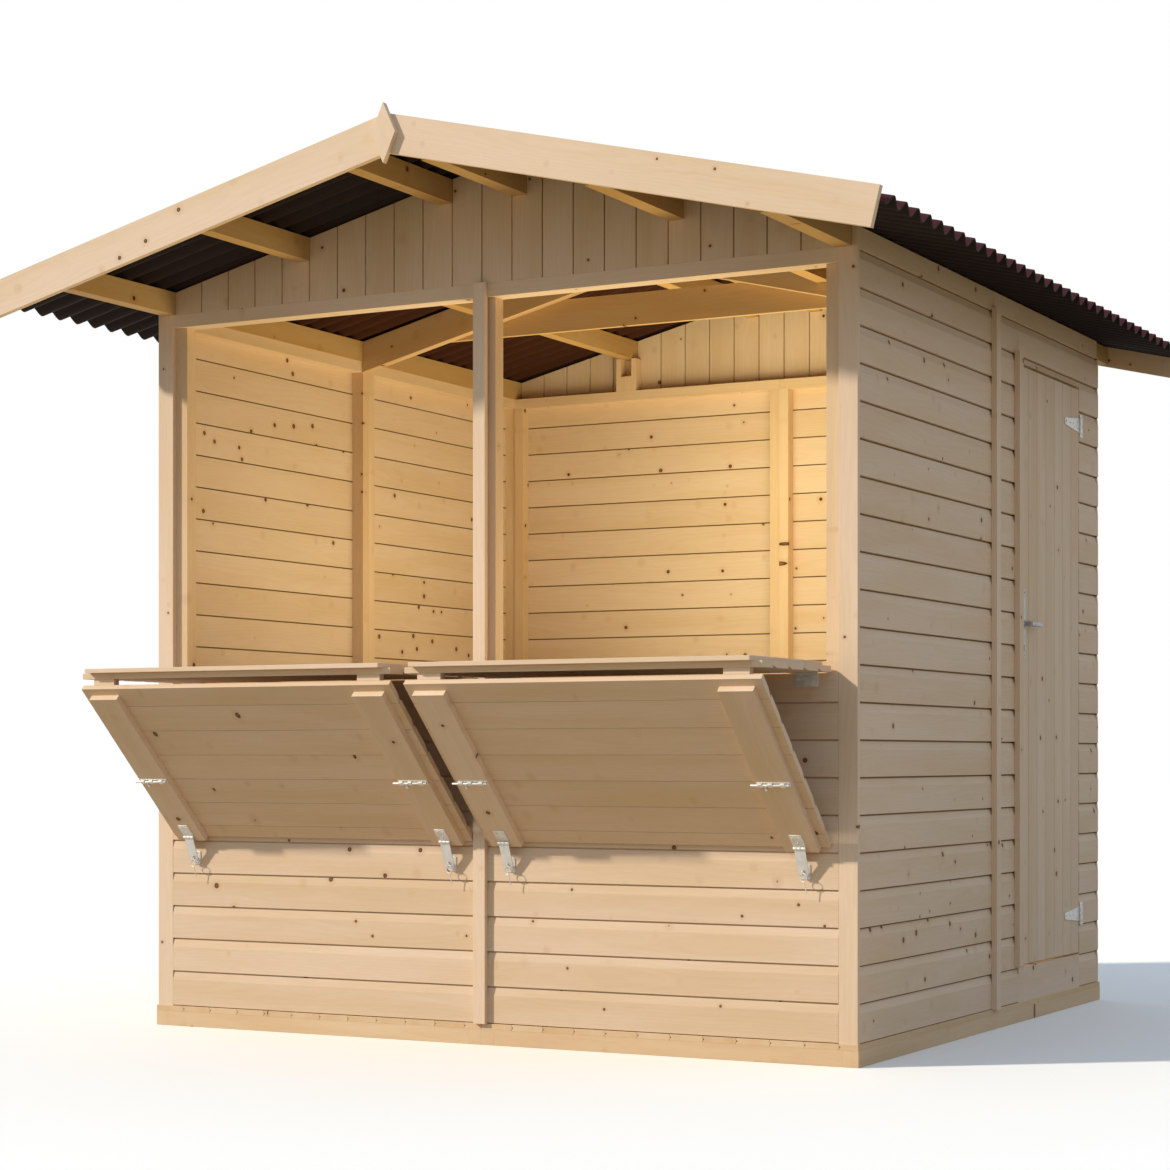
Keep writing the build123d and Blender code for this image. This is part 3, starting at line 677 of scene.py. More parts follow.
def solids_of(node: str) -> list[Mesh]:
    """Part a copy of a CAD node into its solids.

    Args:
        node: the CAD node.

    Returns:
        One mesh per solid, in the order of their places.
    """
    mesh = whole(node)
    left = dict.fromkeys(mesh.verts)
    found = []
    while left:
        group = [next(iter(left))]
        left.pop(group[0])
        for vert in group:
            for near in [edge.other_vert(vert) for edge in vert.link_edges]:
                if near in left:
                    left.pop(near)
                    group.append(near)
        part = bmesh.new()
        made = {v: part.verts.new(v.co) for v in group}
        for face in dict.fromkeys(f for v in group for f in v.link_faces):
            part.faces.new([made[v] for v in face.verts])
        found.append(part)
    mesh.free()
    found.sort(key=lambda p: tuple(round(c, 4) for c in sum((v.co for v in p.verts), Vector())))
    return found


class Workshop:
    """Gathers shaped boards into one mesh per piece, with grain coordinates on every board."""

    SHARP = 0.35
    TONES = (-0.5, 0.5)
    PITH_ASIDE = 50.0
    PITH_DEPTH = (20.0, 90.0)
    SHIFT = 40000.0
    MITRE_GAP = 0.3

    def __init__(self, name: str, seed: int) -> None:
        """Start an empty piece.

        Args:
            name: the piece's name.
            seed: seed of its board variation.
        """
        self.name = name
        self.random = random.Random(seed)
        self.mesh = bmesh.new()
        self.grain = self.mesh.verts.layers.float_vector.new("grain")
        self.tone = self.mesh.verts.layers.float.new("tone")

    def prism(
        self,
        outline: list[Pair],
        across: tuple[Axis, Axis],
        run: Pair,
        bevel: float = 1.0,
        tone: Optional[float] = None,
    ) -> None:
        """Add a board with a constant section.

        Args:
            outline: section points in mm, on the two axes across the board.
            across: the axes of the section's first and second value.
            run: start and end along the remaining axis, in mm.
            bevel: width of the eased edges, in mm.
            tone: the board's tone from -1 to 1, or None for a random one.
        """
        along = next(axis for axis in Axis if axis not in across)
        direction = Vector([1.0 if axis is along else 0.0 for axis in Axis])
        part = bmesh.new()
        corners = []
        for first, second in outline:
            place = direction * (run[0] * MM)
            place[across[0].value] = first * MM
            place[across[1].value] = second * MM
            corners.append(part.verts.new(place))
        sweep(part, [part.faces.new(corners)], direction * ((run[1] - run[0]) * MM))
        bmesh.ops.recalc_face_normals(part, faces=part.faces)
        self.take(part, direction, bevel, tone)

    def box(
        self,
        low: Point,
        high: Point,
        along: Axis,
        bevel: float = 1.0,
        tone: Optional[float] = None,
    ) -> None:
        """Add a rectangular board between two corners.

        Args:
            low: lowest corner in mm.
            high: highest corner in mm.
            along: direction of the grain.
            bevel: width of the eased edges, in mm.
            tone: the board's tone, or None for a random one.
        """
        ranges = {axis: (low[axis.value], high[axis.value]) for axis in Axis}
        run = ranges.pop(along)
        first, second = ranges
        outline = rectangle(ranges[first], ranges[second])
        self.prism(outline, (first, second), run, bevel, tone)

    def take(
        self, part: Mesh, direction: Vector, bevel: float, tone: Optional[float] = None
    ) -> None:
        """Ease a board's edges, write its grain and join it to the piece.

        Args:
            part: the board's own mesh, in metres, freed here.
            direction: unit vector along the grain.
            bevel: width of the eased edges, in mm.
            tone: the board's tone, or None for a random one.
        """
        if bevel > 0:
            sharp = [
                e for e in part.edges if e.is_manifold and e.calc_face_angle(0.0) > self.SHARP
            ]
            ease(part, sharp, bevel * MM)
        tone = self.random.uniform(*self.TONES) if tone is None else tone
        other = Vector((0, 1, 0) if abs(direction.z) > 0.5 else (0, 0, 1))
        side = direction.cross(other).normalized()
        depth = direction.cross(side).normalized()
        if self.extent(part, side) < self.extent(part, depth):
            side, depth = depth, side
        centre = sum((v.co for v in part.verts), Vector()) / len(part.verts)
        aside = self.random.uniform(-self.PITH_ASIDE, self.PITH_ASIDE)
        deep = self.random.choice((-1, 1)) * self.random.uniform(*self.PITH_DEPTH)
        shift = self.random.uniform(-self.SHIFT, self.SHIFT)
        made: dict[bmesh.types.BMVert, bmesh.types.BMVert] = {}
        for v in part.verts:
            copy = self.mesh.verts.new(v.co)
            local = v.co - centre
            board = (local.dot(side), local.dot(depth), local.dot(direction))
            copy[self.grain] = Vector(board) + Vector((aside, deep, shift)) * MM
            copy[self.tone] = tone
            made[v] = copy
        for face in part.faces:
            self.mesh.faces.new([made[v] for v in face.verts])
        part.free()

    @staticmethod
    def extent(part: Mesh, direction: Vector) -> float:
        """Measure a shape along a direction."""
        places = [v.co.dot(direction) for v in part.verts]
        return max(places) - min(places)

    def cad(
        self, node: str, bevel: float, spread: Pair = TONES, mitred: bool = False
    ) -> None:
        """Add the solids of a CAD node with eased edges and grain along their longest edge.

        Args:
            node: the CAD node, left as it is.
            bevel: width of the eased edges, in mm.
            spread: lowest and highest tone of the solids.
            mitred: whether each solid is a pair that is parted at the centre line.
        """
        for part in solids_of(node):
            boards = [part]
            if mitred:
                boards = [part.copy(), part]
                for board, side in zip(boards, (-1, 1)):
                    trim(board, side * self.MITRE_GAP, -side)
            for board in boards:
                longest = max(board.edges, key=lambda e: e.calc_length())
                direction = (longest.verts[1].co - longest.verts[0].co).normalized()
                self.take(board, direction, bevel, self.random.uniform(*spread))

    def finish(self, palette: Palette, slot: Slot, *nodes: str, body: str = HUT) -> None:
        """Place the piece.

        Args:
            palette: the finishes.
            slot: the piece's material slot.
            nodes: CAD nodes that it stands for.
            body: the CAD body that it rides on.
        """
        palette.place(self.name, self.mesh, slot, nodes, body)


@dataclass
class LappedCladding:
    """Shiplap courses: each board's top lip is planed back behind the next board's foot."""

    floor_top: float = 58.0
    starter: float = 100.9
    pitch: float = 96.0
    most_courses: int = 40
    lap_height: float = 24.0
    lap_depth: float = 6.5
    front_lap_depth: float = 3.6
    seam: float = 4.2
    tongue: float = 7.0
    ledge: float = 8.0
    tongue_back: float = 12.0
    tongue_short: float = 0.4
    # Painted shade: tongues in the sunlit front walls are toned a little darker than the boards.
    sunlit_joint_shade_tone: float = -1.0
    tones: Pair = (-0.5, 0.3)
    most_inset: float = 0.5
    bevel: float = 0.7
    seed: int = 100
    nodes: tuple[tuple[str, Axis, int], ...] = (
        ("front_left_cladding", Axis.X, -1),
        ("front_right_cladding", Axis.X, -1),
        ("back_left_cladding", Axis.X, 1),
        ("back_right_cladding", Axis.X, 1),
        ("left_front_cladding", Axis.Y, -1),
        ("left_rear_cladding", Axis.Y, -1),
        ("right_front_cladding", Axis.Y, 1),
        ("door_side_cladding", Axis.Y, 1),
        ("door_rear_cladding", Axis.Y, 1),
        ("over_door_cladding", Axis.Y, 1),
    )

    def build(self, palette: Palette) -> None:
        """Make every clad panel board by board, with a tongue in each seam that is painted dark as
        shade.

        Args:
            palette: the finishes.
        """
        for index, (node, along, outward) in enumerate(self.nodes):
            low, high = limits(node)
            across = Axis.Y if along is Axis.X else Axis.X
            faces = (low[across.value], high[across.value])
            outer, inner = faces if outward < 0 else faces[::-1]
            sunlit = node.startswith("front")
            lip = outer - outward * (self.front_lap_depth if sunlit else self.lap_depth)
            depths = (outer - outward * self.ledge, outer - outward * self.tongue_back)
            # Painted shade: tongues take the dark joint colour, except on the sunlit front.
            shade = self.sunlit_joint_shade_tone if sunlit else JOINT_SHADE_TONE
            shop = Workshop(node + "_boards", self.seed + index)
            edges = self.seams(low[2], high[2])
            for foot, top in zip(edges, edges[1:]):
                last = top == edges[-1]
                outline = self.section((outer, lip, inner), foot, top, last)
                inset = shop.random.uniform(0.0, self.most_inset)
                run = (low[along.value] + inset, high[along.value] - inset)
                tone = shop.random.uniform(*self.tones)
                shop.prism(outline, (across, Axis.Z), run, self.bevel, tone)
                if not last:
                    strip = rectangle(depths, (top - self.tongue, top + self.tongue))
                    ends = (run[0] + self.tongue_short, run[1] - self.tongue_short)
                    shop.prism(strip, (across, Axis.Z), ends, 0.0, shade)
            shop.finish(palette, Slot.FRONT, node)

    def seams(self, low: float, high: float) -> list[float]:
        """List the course edges from the foot to the top of a panel, in mm."""
        first = self.floor_top + self.starter
        inner = [first + i * self.pitch for i in range(self.most_courses)]
        kept = [z for z in inner if low + self.lap_height / 2 < z < high - 1]
        return [low] + kept + [high]

    def section(self, depths: Point, low: float, high: float, last: bool) -> list[Pair]:
        """Section of one board.

        Args:
            depths: places of the weather face, the top lip and the room face, in mm.
            low: the board's foot.
            high: the board's top.
            last: whether no board follows above.

        Returns:
            Points as depth and height.
        """
        outer, lip, inner = depths
        foot = low + self.seam / 2
        top = high - self.seam / 2
        if last:
            return rectangle((outer, inner), (foot, high))
        shoulder = max(foot + 1, high - self.lap_height)
        return [(outer, foot), (outer, shoulder), (lip, top), (inner, top), (inner, foot)]


@dataclass
class GableBoards:
    """Upright boards that fill each gable, notched around the purlins."""

    pitch: float = 95.0
    seam: float = 3.2
    bevel: float = 1.0
    tongue_half: float = 4.0
    tongue_depth: float = 5.0
    tongue_foot: float = 1.0
    tongue_head: float = 3.0
    tones: Pair = (-0.6, 0.2)
    purlins: Point = (118.0, 593.0, 1067.8)
    purlin_reach: float = 28.0
    ridge: float = 2404.9
    slope: float = 0.24249
    seed: int = 300
    nodes: tuple[str, ...] = ("front_gable", "back_gable")

    def build(self, palette: Palette) -> None:
        """Cut each CAD gable into its boards, with a tongue in each joint that is painted dark as
        shade.

        Args:
            palette: the finishes.
        """
        for index, node in enumerate(self.nodes):
            low, high = limits(node)
            gable = whole(node)
            shop = Workshop(node + "_boards", self.seed + index)
            count = int(high[0] // self.pitch) + 1
            for i in range(-count, count):
                board = gable.copy()
                trim(board, i * self.pitch + self.seam / 2, -1)
                trim(board, (i + 1) * self.pitch - self.seam / 2, 1)
                if board.faces:
                    tone = shop.random.uniform(*self.tones)
                    shop.take(board, Vector((0, 0, 1)), self.bevel, tone)
                else:
                    board.free()
            gable.free()
            for i in range(-count + 1, count):
                self.tongue(shop, i * self.pitch, low, high)
            shop.finish(palette, Slot.FRONT, node)

    def tongue(self, shop: Workshop, place: float, low: list[float], high: list[float]) -> None:
        """Close one joint with a tongue that sits deep between two boards, painted dark as shade.

        Args:
            shop: the gable's workshop.
            place: the joint's X in mm.
            low: lowest corner of the gable.
            high: highest corner of the gable.
        """
        if min(abs(abs(place) - line) for line in self.purlins) < self.purlin_reach:
            return
        top = self.ridge - self.slope * (abs(place) + self.tongue_half) - self.tongue_head
        shop.box(
            (place - self.tongue_half, low[1] + self.tongue_depth, low[2] + self.tongue_foot),
            (place + self.tongue_half, high[1] - self.tongue_depth, top),
            Axis.Z,
            0.0,
            JOINT_SHADE_TONE,
        )


@dataclass
class Timber:
    """Studs, rails, trims and roof timbers: sawn to the CAD solids, edges eased by the plane.

    The purlins and the truss are toned darker and more saturated than the rest, as painted shade.
    """

    bevel: float = 1.4
    pale: Pair = (0.0, 0.8)
    # Painted shade: tone ranges that darken the purlins and the truss.
    shade_browned: tuple[tuple[str, Pair], ...] = (
        ("purlins", (-4.2, -3.6)),
        ("truss_rafters", (-2.2, -1.6)),
    )
    # Painted shade: tone that darkens the truss tie.
    tie_shade_tone: float = -2.2
    stop_low: Point = (1070.0, 390.0, 1942.0)
    stop_high: Point = (1089.5, 968.0, 1990.0)
    seed: int = 500
    tie_seed: int = 600
    stop_seed: int = 610
    ledge_seed: int = 620
    front_nodes: tuple[str, ...] = (
        "front_trims",
        "front_headers",
        "cover_strips",
        "under_door_board",
        "barge_boards_left",
        "barge_boards_right",
        "finials",
        "shutter_battens",
        "shutter_blocks",
    )
    frame_nodes: tuple[str, ...] = (
        "floor_bearers",
        "floor_joists",
        "front_studs",
        "sill_rails",
        "back_studs",
        "left_studs",
        "right_studs",
        "bottom_rails",
        "top_rails",
        "purlins",
        "purlin_seats",
        "truss_rafters",
    )

    def build(self, palette: Palette) -> None:
        """Make each timber piece, and the stop behind the door's head.

        Args:
            palette: the finishes.
        """
        tones = dict(self.shade_browned)
        for index, node in enumerate(self.front_nodes + self.frame_nodes):
            shop = Workshop(node + "_wood", self.seed + index)
            shop.cad(node, self.bevel, tones.get(node, self.pale), node == "truss_rafters")
            shop.finish(palette, Slot.FRONT if node in self.front_nodes else Slot.FRAME, node)
        shop = Workshop("truss_tie_wood", self.tie_seed)
        for part in solids_of("truss_tie"):
            shop.take(part, Vector((1, 0, 0)), self.bevel, self.tie_shade_tone)
        shop.finish(palette, Slot.FRAME, "truss_tie")
        shop = Workshop("door_head_stop", self.stop_seed)
        shop.box(self.stop_low, self.stop_high, Axis.Y, self.bevel)
        shop.finish(palette, Slot.FRAME)
        shop = Workshop("door_ledges_wood", self.ledge_seed)
        shop.cad("door_ledges", self.bevel)
        shop.finish(palette, Slot.FRAME, "door_ledges", body=DOOR)


@dataclass
class FloorDeck:
    """Tongued floor boards from front to back, their ends showing over the joists."""

    pitch: float = 96.0
    seam: float = 0.8
    tongue_depth: float = 5.0
    tongue_slack: float = 0.6
    bevel: float = 0.5
    seed: int = 700
    nodes: tuple[str, ...] = ("deck_left", "deck_right")

    def build(self, palette: Palette) -> None:
        """Make both floor panels.

        Args:
            palette: the finishes.
        """
        for index, node in enumerate(self.nodes):
            low, high = limits(node)
            shop = Workshop(node + "_boards", self.seed + index)
            count = math.ceil((high[0] - low[0]) / self.pitch)
            for i in range(count):
                left = low[0] + i * self.pitch + self.seam / 2
                right = min(low[0] + (i + 1) * self.pitch, high[0]) - self.seam / 2
                heights = (low[2], high[2])
                outline = rectangle((left, right), heights)
                if i < count - 1:
                    outline[2:2] = self.tongue(right, *heights)
                shop.prism(outline, (Axis.X, Axis.Z), (low[1], high[1]), self.bevel)
            shop.finish(palette, Slot.FRAME, node)

    def tongue(self, edge: float, low: float, high: float) -> list[Pair]:
        """Outline of the tongue on a board's right edge.

        Args:
            edge: the edge's X in mm.
            low: the board's underside.
            high: its top.

        Returns:
            Points from the foot of the tongue to its head.
        """
        third = (high - low) / 3
        reach = edge + self.tongue_depth
        return [
            (edge, low + third),
            (reach, low + third + self.tongue_slack),
            (reach, high - third - self.tongue_slack),
            (edge, high - third),
        ]


@dataclass
class DoorBoards:
    """The door's upright tongued boards with beaded joints."""

    pitch: float = 84.0
    chamfer: float = 3.0
    seam: float = 0.8
    bevel: float = 0.5
    seed: int = 740

    def build(self, palette: Palette) -> None:
        """Make the leaf.

        Args:
            palette: the finishes.
        """
        low, high = limits("door_leaf")
        inside, face = low[0], high[0]
        shop = Workshop("door_leaf_boards", self.seed)
        count = math.ceil((high[1] - low[1]) / self.pitch)
        for i in range(count):
            opens = 1 if i else 0
            closes = 1 if i < count - 1 else 0
            near = low[1] + i * self.pitch
            start = near + opens * self.seam / 2
            end = min(near + self.pitch, high[1]) - closes * self.seam / 2
            outline = [
                (inside, start),
                (face - opens * self.chamfer, start),
                (face, start + opens * self.chamfer),
                (face, end - closes * self.chamfer),
                (face - closes * self.chamfer, end),
                (inside, end),
            ]
            outline = list(dict.fromkeys(outline))
            shop.prism(outline, (Axis.X, Axis.Y), (low[2], high[2]), self.bevel)
        shop.finish(palette, Slot.FRONT, "door_leaf", body=DOOR)


def frame_at(origin: Point, x: Point, y: Point) -> Matrix:
    """Make the matrix of a frame from its origin and its first two directions."""
    turn = Matrix((x, y, Vector(x).cross(Vector(y)))).transposed().to_4x4()
    return Matrix.Translation(origin) @ turn


@dataclass(frozen=True)
class FoldedLeaf:
    """How the leaves hang behind the counters, and where their battens lie."""

    top: Pair = (-1316.5, 976.0)
    tilt: float = 45.4
    battens: tuple[float, ...] = (-964.5, -93.5, 93.5, 964.5)
    batten_face: float = -18.4

    def spot(self, along: float, out: float) -> Pair:
        """Point in Y and Z at a distance down the leaf and out behind its face."""
        angle = math.radians(self.tilt)
        return (
            self.top[0] + along * math.sin(angle) + out * math.cos(angle),
            self.top[1] - along * math.cos(angle) + out * math.sin(angle),
        )

    def batten(self, line: float, along: float, out: float = 0.0, lean: float = tilt) -> Matrix:
        """Frame on a batten: Y runs down it and Z looks away from the wall.

        Args:
            line: the batten's X in mm.
            along: distance down the leaf.
            out: distance from the batten's face towards the wall.
            lean: how far Y leans from plumb, in degrees.

        Returns:
            The frame.
        """
        angle = math.radians(lean)
        origin = (line, *self.spot(along, self.batten_face + out))
        return frame_at(origin, (-1, 0, 0), (0, math.sin(angle), -math.cos(angle)))


@dataclass
class Shutters:
    """Counters with their top boards, and the leaves folded back below them."""

    hung: FoldedLeaf = FoldedLeaf()
    thickness: float = 16.0
    lap_height: float = 24.0
    lap_depth: float = 6.5
    seam: float = 1.2
    bevel: float = 0.7
    counter_seams: tuple[float, ...] = (81.0, 174.0, 267.0, 360.0)
    counter_tones: Pair = (-0.3, 0.3)
    counter_seed: int = 760
    leaf_seams: tuple[float, ...] = (69.0, 165.0, 261.0, 357.0, 453.0, 549.0)
    leaf_length: float = 596.0
    leaf_tones: Pair = (-0.4, 0.3)
    leaf_seed: int = 780
    top_board: float = 112.0
    top_tones: Pair = (0.0, 0.5)
    top_seed: int = 790

    def build(self, palette: Palette) -> None:
        """Make both counters, their top boards and both leaves.

        Args:
            palette: the finishes.
        """
        for index, side in enumerate(("left", "right")):
            node = "counter_" + side
            low, high = limits(node)
            shop = Workshop(node + "_boards", self.counter_seed + index)
            for board in self.profile(high[1] - low[1], self.counter_seams):
                outline = [(high[1] - along, low[2] + depth) for along, depth in board]
                tone = shop.random.uniform(*self.counter_tones)
                shop.prism(outline, (Axis.Y, Axis.Z), (low[0], high[0]), self.bevel, tone)
            shop.finish(palette, Slot.FRONT, node)
            node = "shutter_" + side
            low, high = limits(node)
            shop = Workshop(node + "_boards", self.leaf_seed + index)
            for board in self.profile(self.leaf_length, self.leaf_seams):
                outline = [self.hung.spot(along, self.thickness - depth) for along, depth in board]
                tone = shop.random.uniform(*self.leaf_tones)
                shop.prism(outline, (Axis.Y, Axis.Z), (low[0], high[0]), self.bevel, tone)
            shop.finish(palette, Slot.FRONT, node)
        self.tops(palette)

    def profile(self, length: float, seams: tuple[float, ...]) -> list[list[Pair]]:
        """Sections of a run of lapped boards.

        Args:
            length: the run's length in mm.
            seams: distances of the seams from the start.

        Returns:
            For each board, its points as distance and depth from the lapped face.
        """
        boards = []
        for start, end in zip((0.0, *seams), (*seams, length)):
            start += self.seam / 2 if start else 0.0
            points = [(start, 0.0), (end, 0.0)]
            if end != length:
                end -= self.seam / 2
                points = [(start, 0.0), (end - self.lap_height, 0.0), (end, self.lap_depth)]
            boards.append(points + [(end, self.thickness), (start, self.thickness)])
        return boards

    def tops(self, palette: Palette) -> None:
        """Make the boards that lie on the counters.

        Args:
            palette: the finishes.
        """
        low, high = limits("counter_tops")
        shop = Workshop("counter_tops_boards", self.top_seed)
        counter_low, counter_high = limits("counter_right")
        inner = counter_low[0] + counter_high[0] - high[0]
        for left, right in ((-high[0], -inner), (inner, high[0])):
            near = low[1]
            while near < high[1] - 1:
                far = min(near + self.top_board, high[1])
                edge = far - (0 if far == high[1] else self.seam / 2)
                tone = shop.random.uniform(*self.top_tones)
                shop.box((left, near, low[2]), (right, edge, high[2]), Axis.X, tone=tone)
                near = far + self.seam / 2
        shop.finish(palette, Slot.FRONT, "counter_tops")


@dataclass
class RoofSheets:
    """Corrugated bitumen sheets with round waves, and the ridge cap over them."""

    pitch_degrees: float = 13.63
    wave_height: float = 26.0
    thickness: float = 3.0
    waves: int = 34
    low_point: float = 0.11
    steps: int = 12
    rows: int = 6
    ridge_gap: float = 8.0
    roll: float = 18.0
    roll_places: tuple[float, ...] = (-1, -0.6, -0.25, -0.1, -0.04, 0, 0.04, 0.1, 0.25, 0.6, 1)
    roll_sink: float = 0.2
    seed: int = 820

    def build(self, palette: Palette) -> None:
        """Make both slopes and the cap.

        Args:
            palette: the finishes.
        """
        for node, side in (("roof_sheet_left", -1), ("roof_sheet_right", 1)):
            mesh = self.sheet(node, side)
            palette.place(node + "_waves", mesh, Slot.BITUMEN, (node,), smooth=True)
        self.cap(palette)

    def sheet(self, node: str, side: int) -> Mesh:
        """Draw one slope's wave out from the ridge to the eave.

        Args:
            node: the CAD node.
            side: 1 on the right, -1 on the left.

        Returns:
            The sheet.
        """
        low, high = limits(node)
        angle = math.radians(self.pitch_degrees)
        up = Vector((side * math.sin(angle), 0, math.cos(angle)))
        down = Vector((side * math.cos(angle), 0, -math.sin(angle)))
        rise = (self.wave_height + self.thickness) * up
        start = Vector((side * self.ridge_gap, 0, high[2] - rise.z))
        reach = max(abs(low[0]), abs(high[0])) - abs(rise.x) - self.ridge_gap
        step = down * (reach / math.cos(angle) / self.rows * MM)
        mesh = bmesh.new()
        count = self.waves * self.steps
        crest = []
        for i in range(count + 1):
            turn = 2 * math.pi * (i / self.steps - self.low_point)
            place = start + up * (self.wave_height * (0.5 - 0.5 * math.cos(turn)) + self.thickness)
            place.y = low[1] + (high[1] - low[1]) * i / count
            crest.append(mesh.verts.new(place * MM))
        edges = [mesh.edges.new(crest[i : i + 2]) for i in range(count)]
        for _row in range(self.rows):
            swept = bmesh.ops.extrude_edge_only(mesh, edges=edges)["geom"]
            edges = [g for g in swept if isinstance(g, bmesh.types.BMEdge)]
            verts = [g for g in swept if isinstance(g, bmesh.types.BMVert)]
            bmesh.ops.translate(mesh, verts=verts, vec=step)
        bmesh.ops.recalc_face_normals(mesh, faces=mesh.faces)
        if next(iter(mesh.faces)).normal.z < 0:
            bmesh.ops.reverse_faces(mesh, faces=mesh.faces)
        bmesh.ops.solidify(mesh, geom=mesh.faces, thickness=self.thickness * MM)
        return mesh

    def cap(self, palette: Palette) -> None:
        """Make the ridge cap with a rolled centre.

        Args:
            palette: the finishes.
        """
        low, high = limits("ridge_cap")
        drop = math.tan(math.radians(self.pitch_degrees))
        top = []
        for share in self.roll_places:
            x = high[0] * share
            soft = math.sqrt(x * x + self.roll * self.roll) - self.roll
            top.append((x, max(high[2] - drop * soft - self.roll_sink, low[2])))
        bottom = [(x, max(z - self.thickness, low[2])) for x, z in reversed(top)]
        shop = Workshop("ridge_cap_roll", self.seed)
        shop.prism(top + bottom, (Axis.X, Axis.Z), (low[1], high[1]), 0.0)
        shop.finish(palette, Slot.BITUMEN, "ridge_cap")


class MetalShop:
    """Gathers pressed and turned metal shapes into one mesh per piece."""

    BAR_EASE = 0.2
    HEAD_SIDES = 14
    HEAD_DEPTH = 1.9
    HEAD_TAPER = 0.8
    HEAD_LIFT = 0.4
    RECESS_RIM = 0.28
    RECESS_DEPTH = 1.6
    RING_STEPS = 22
    WIRE_SIDES = 8

    def __init__(self, name: str) -> None:
        """Start an empty piece with its name."""
        self.name = name
        self.mesh = bmesh.new()

    def join(self, part: Mesh, place: Matrix) -> None:
        """Move a shape into place and add it to the piece.

        Args:
            part: the shape in mm, freed here.
            place: from the shape's own frame to the part's frame, in mm.
        """
        bmesh.ops.transform(part, matrix=Matrix.Scale(MM, 4) @ place, verts=part.verts)
        bmesh.ops.recalc_face_normals(part, faces=part.faces)
        data = bpy.data.meshes.new("shape")
        part.to_mesh(data)
        part.free()
        self.mesh.from_mesh(data)
        bpy.data.meshes.remove(data)

    def plate(self, place: Matrix, size: Point, corner: float, rim: float = 0.35) -> None:
        """Add a flat plate that stands on its frame's XY plane.

        Args:
            place: the plate's frame, Z away from what carries it.
            size: width, length and thickness in mm.
            corner: radius of the four corners.
            rim: rounding of the face's rim.
        """
        part = bmesh.new()
        bmesh.ops.create_cube(part, size=1.0)
        bmesh.ops.scale(part, verts=part.verts, vec=size)
        bmesh.ops.translate(part, verts=part.verts, vec=(0, 0, size[2] / 2))
        upright = [e for e in part.edges if abs(e.verts[0].co.z - e.verts[1].co.z) > size[2] / 2]
        ease(part, upright, corner, 5)
        ease(part, [e for e in part.edges if min(v.co.z for v in e.verts) > size[2] * 0.9], rim)
        self.join(part, place)

    def bar(
        self, place: Matrix, start: Point, end: Point, radius: float, segments: int = 18
    ) -> None:
        """Add a round bar with eased ends.

        Args:
            place: the frame in which its ends are given.
            start: centre of one end in mm.
            end: centre of the other end.
            radius: its radius.
            segments: facets around.
        """
        near, far = place @ Vector(start), place @ Vector(end)
        run = far - near
        part = bmesh.new()
        bmesh.ops.create_cone(
            part,
            cap_ends=True,
            segments=segments,
            radius1=radius,
            radius2=radius,
            depth=run.length,
        )
        rims = [e for e in part.edges if abs(e.verts[0].co.z - e.verts[1].co.z) < 0.01]
        ease(part, rims, radius * self.BAR_EASE)
        turn = run.to_track_quat("Z", "Y").to_matrix().to_4x4()
        self.join(part, Matrix.Translation((near + far) / 2) @ turn)

    def knuckle(
        self, place: Matrix, along: Vector, half: float, joint: Pair, radius: float
    ) -> None:
        """Add a hinge's rolled knuckle, three barrels in a row.

        Args:
            place: frame of its centre.
            along: its direction in that frame.
            half: half its length.
            joint: end of the middle barrel and start of the outer ones, from the centre.
            radius: its radius.
        """
        for start, end in ((-half, -joint[1]), (-joint[0], joint[0]), (joint[1], half)):
            self.bar(place, along * start, along * end, radius)

    def screws(self, place: Matrix, spots: tuple[Pair, ...], lift: float, radius: float) -> None:
        """Add countersunk screw heads, each with a driver recess.

        Args:
            place: frame of the plate.
            spots: their places on the plate in mm.
            lift: height of the plate's face.
            radius: radius of a head.
        """
        for x, y in spots:
            part = bmesh.new()
            bmesh.ops.create_cone(
                part,
                cap_ends=True,
                segments=self.HEAD_SIDES,
                radius1=radius,
                radius2=radius * self.HEAD_TAPER,
                depth=self.HEAD_DEPTH,
            )
            top = [f for f in part.faces if f.normal.z > 0.9]
            bmesh.ops.inset_region(part, faces=top, thickness=radius * self.RECESS_RIM, depth=0.0)
            recess = list({v for f in top for v in f.verts})
            bmesh.ops.translate(part, verts=recess, vec=(0, 0, -self.RECESS_DEPTH))
            self.join(part, place @ Matrix.Translation((x, y, lift + self.HEAD_LIFT)))

    def ring(
        self, place: Matrix, centre: Point, axis: Point, radius: float, wire: float
    ) -> None:
        """Add a round wire ring.

        Args:
            place: the frame in which its centre is given, unturned.
            centre: its centre in mm.
            axis: the direction that it is seen round from.
            radius: radius of the wire's centre line.
            wire: radius of the wire.
        """
        part = bmesh.new()
        made = bmesh.ops.create_circle(part, segments=self.WIRE_SIDES, radius=wire)
        turn = Matrix.Translation((radius, 0, 0)) @ Matrix.Rotation(math.radians(90), 4, "X")
        bmesh.ops.transform(part, matrix=turn, verts=made["verts"])
        bmesh.ops.spin(
            part,
            geom=[*part.verts, *part.edges],
            cent=(0, 0, 0),
            axis=(0, 0, 1),
            angle=math.tau,
            steps=self.RING_STEPS,
            use_merge=True,
        )
        bmesh.ops.remove_doubles(part, verts=part.verts, dist=0.01)
        facing = Vector(axis).to_track_quat("Z", "Y").to_matrix().to_4x4()
        self.join(part, place @ Matrix.Translation(centre) @ facing)

    def strap(self, place: Matrix, outline: list[Pair], thickness: float) -> None:
        """Add a flat strap with a free outline.

        Args:
            place: the strap's frame, Z away from what carries it.
            outline: corners in mm, in order.
            thickness: its thickness.
        """
        part = bmesh.new()
        face = part.faces.new([part.verts.new((x, y, 0)) for x, y in outline])
        sweep(part, [face], Vector((0, 0, thickness)))
        self.join(part, place)

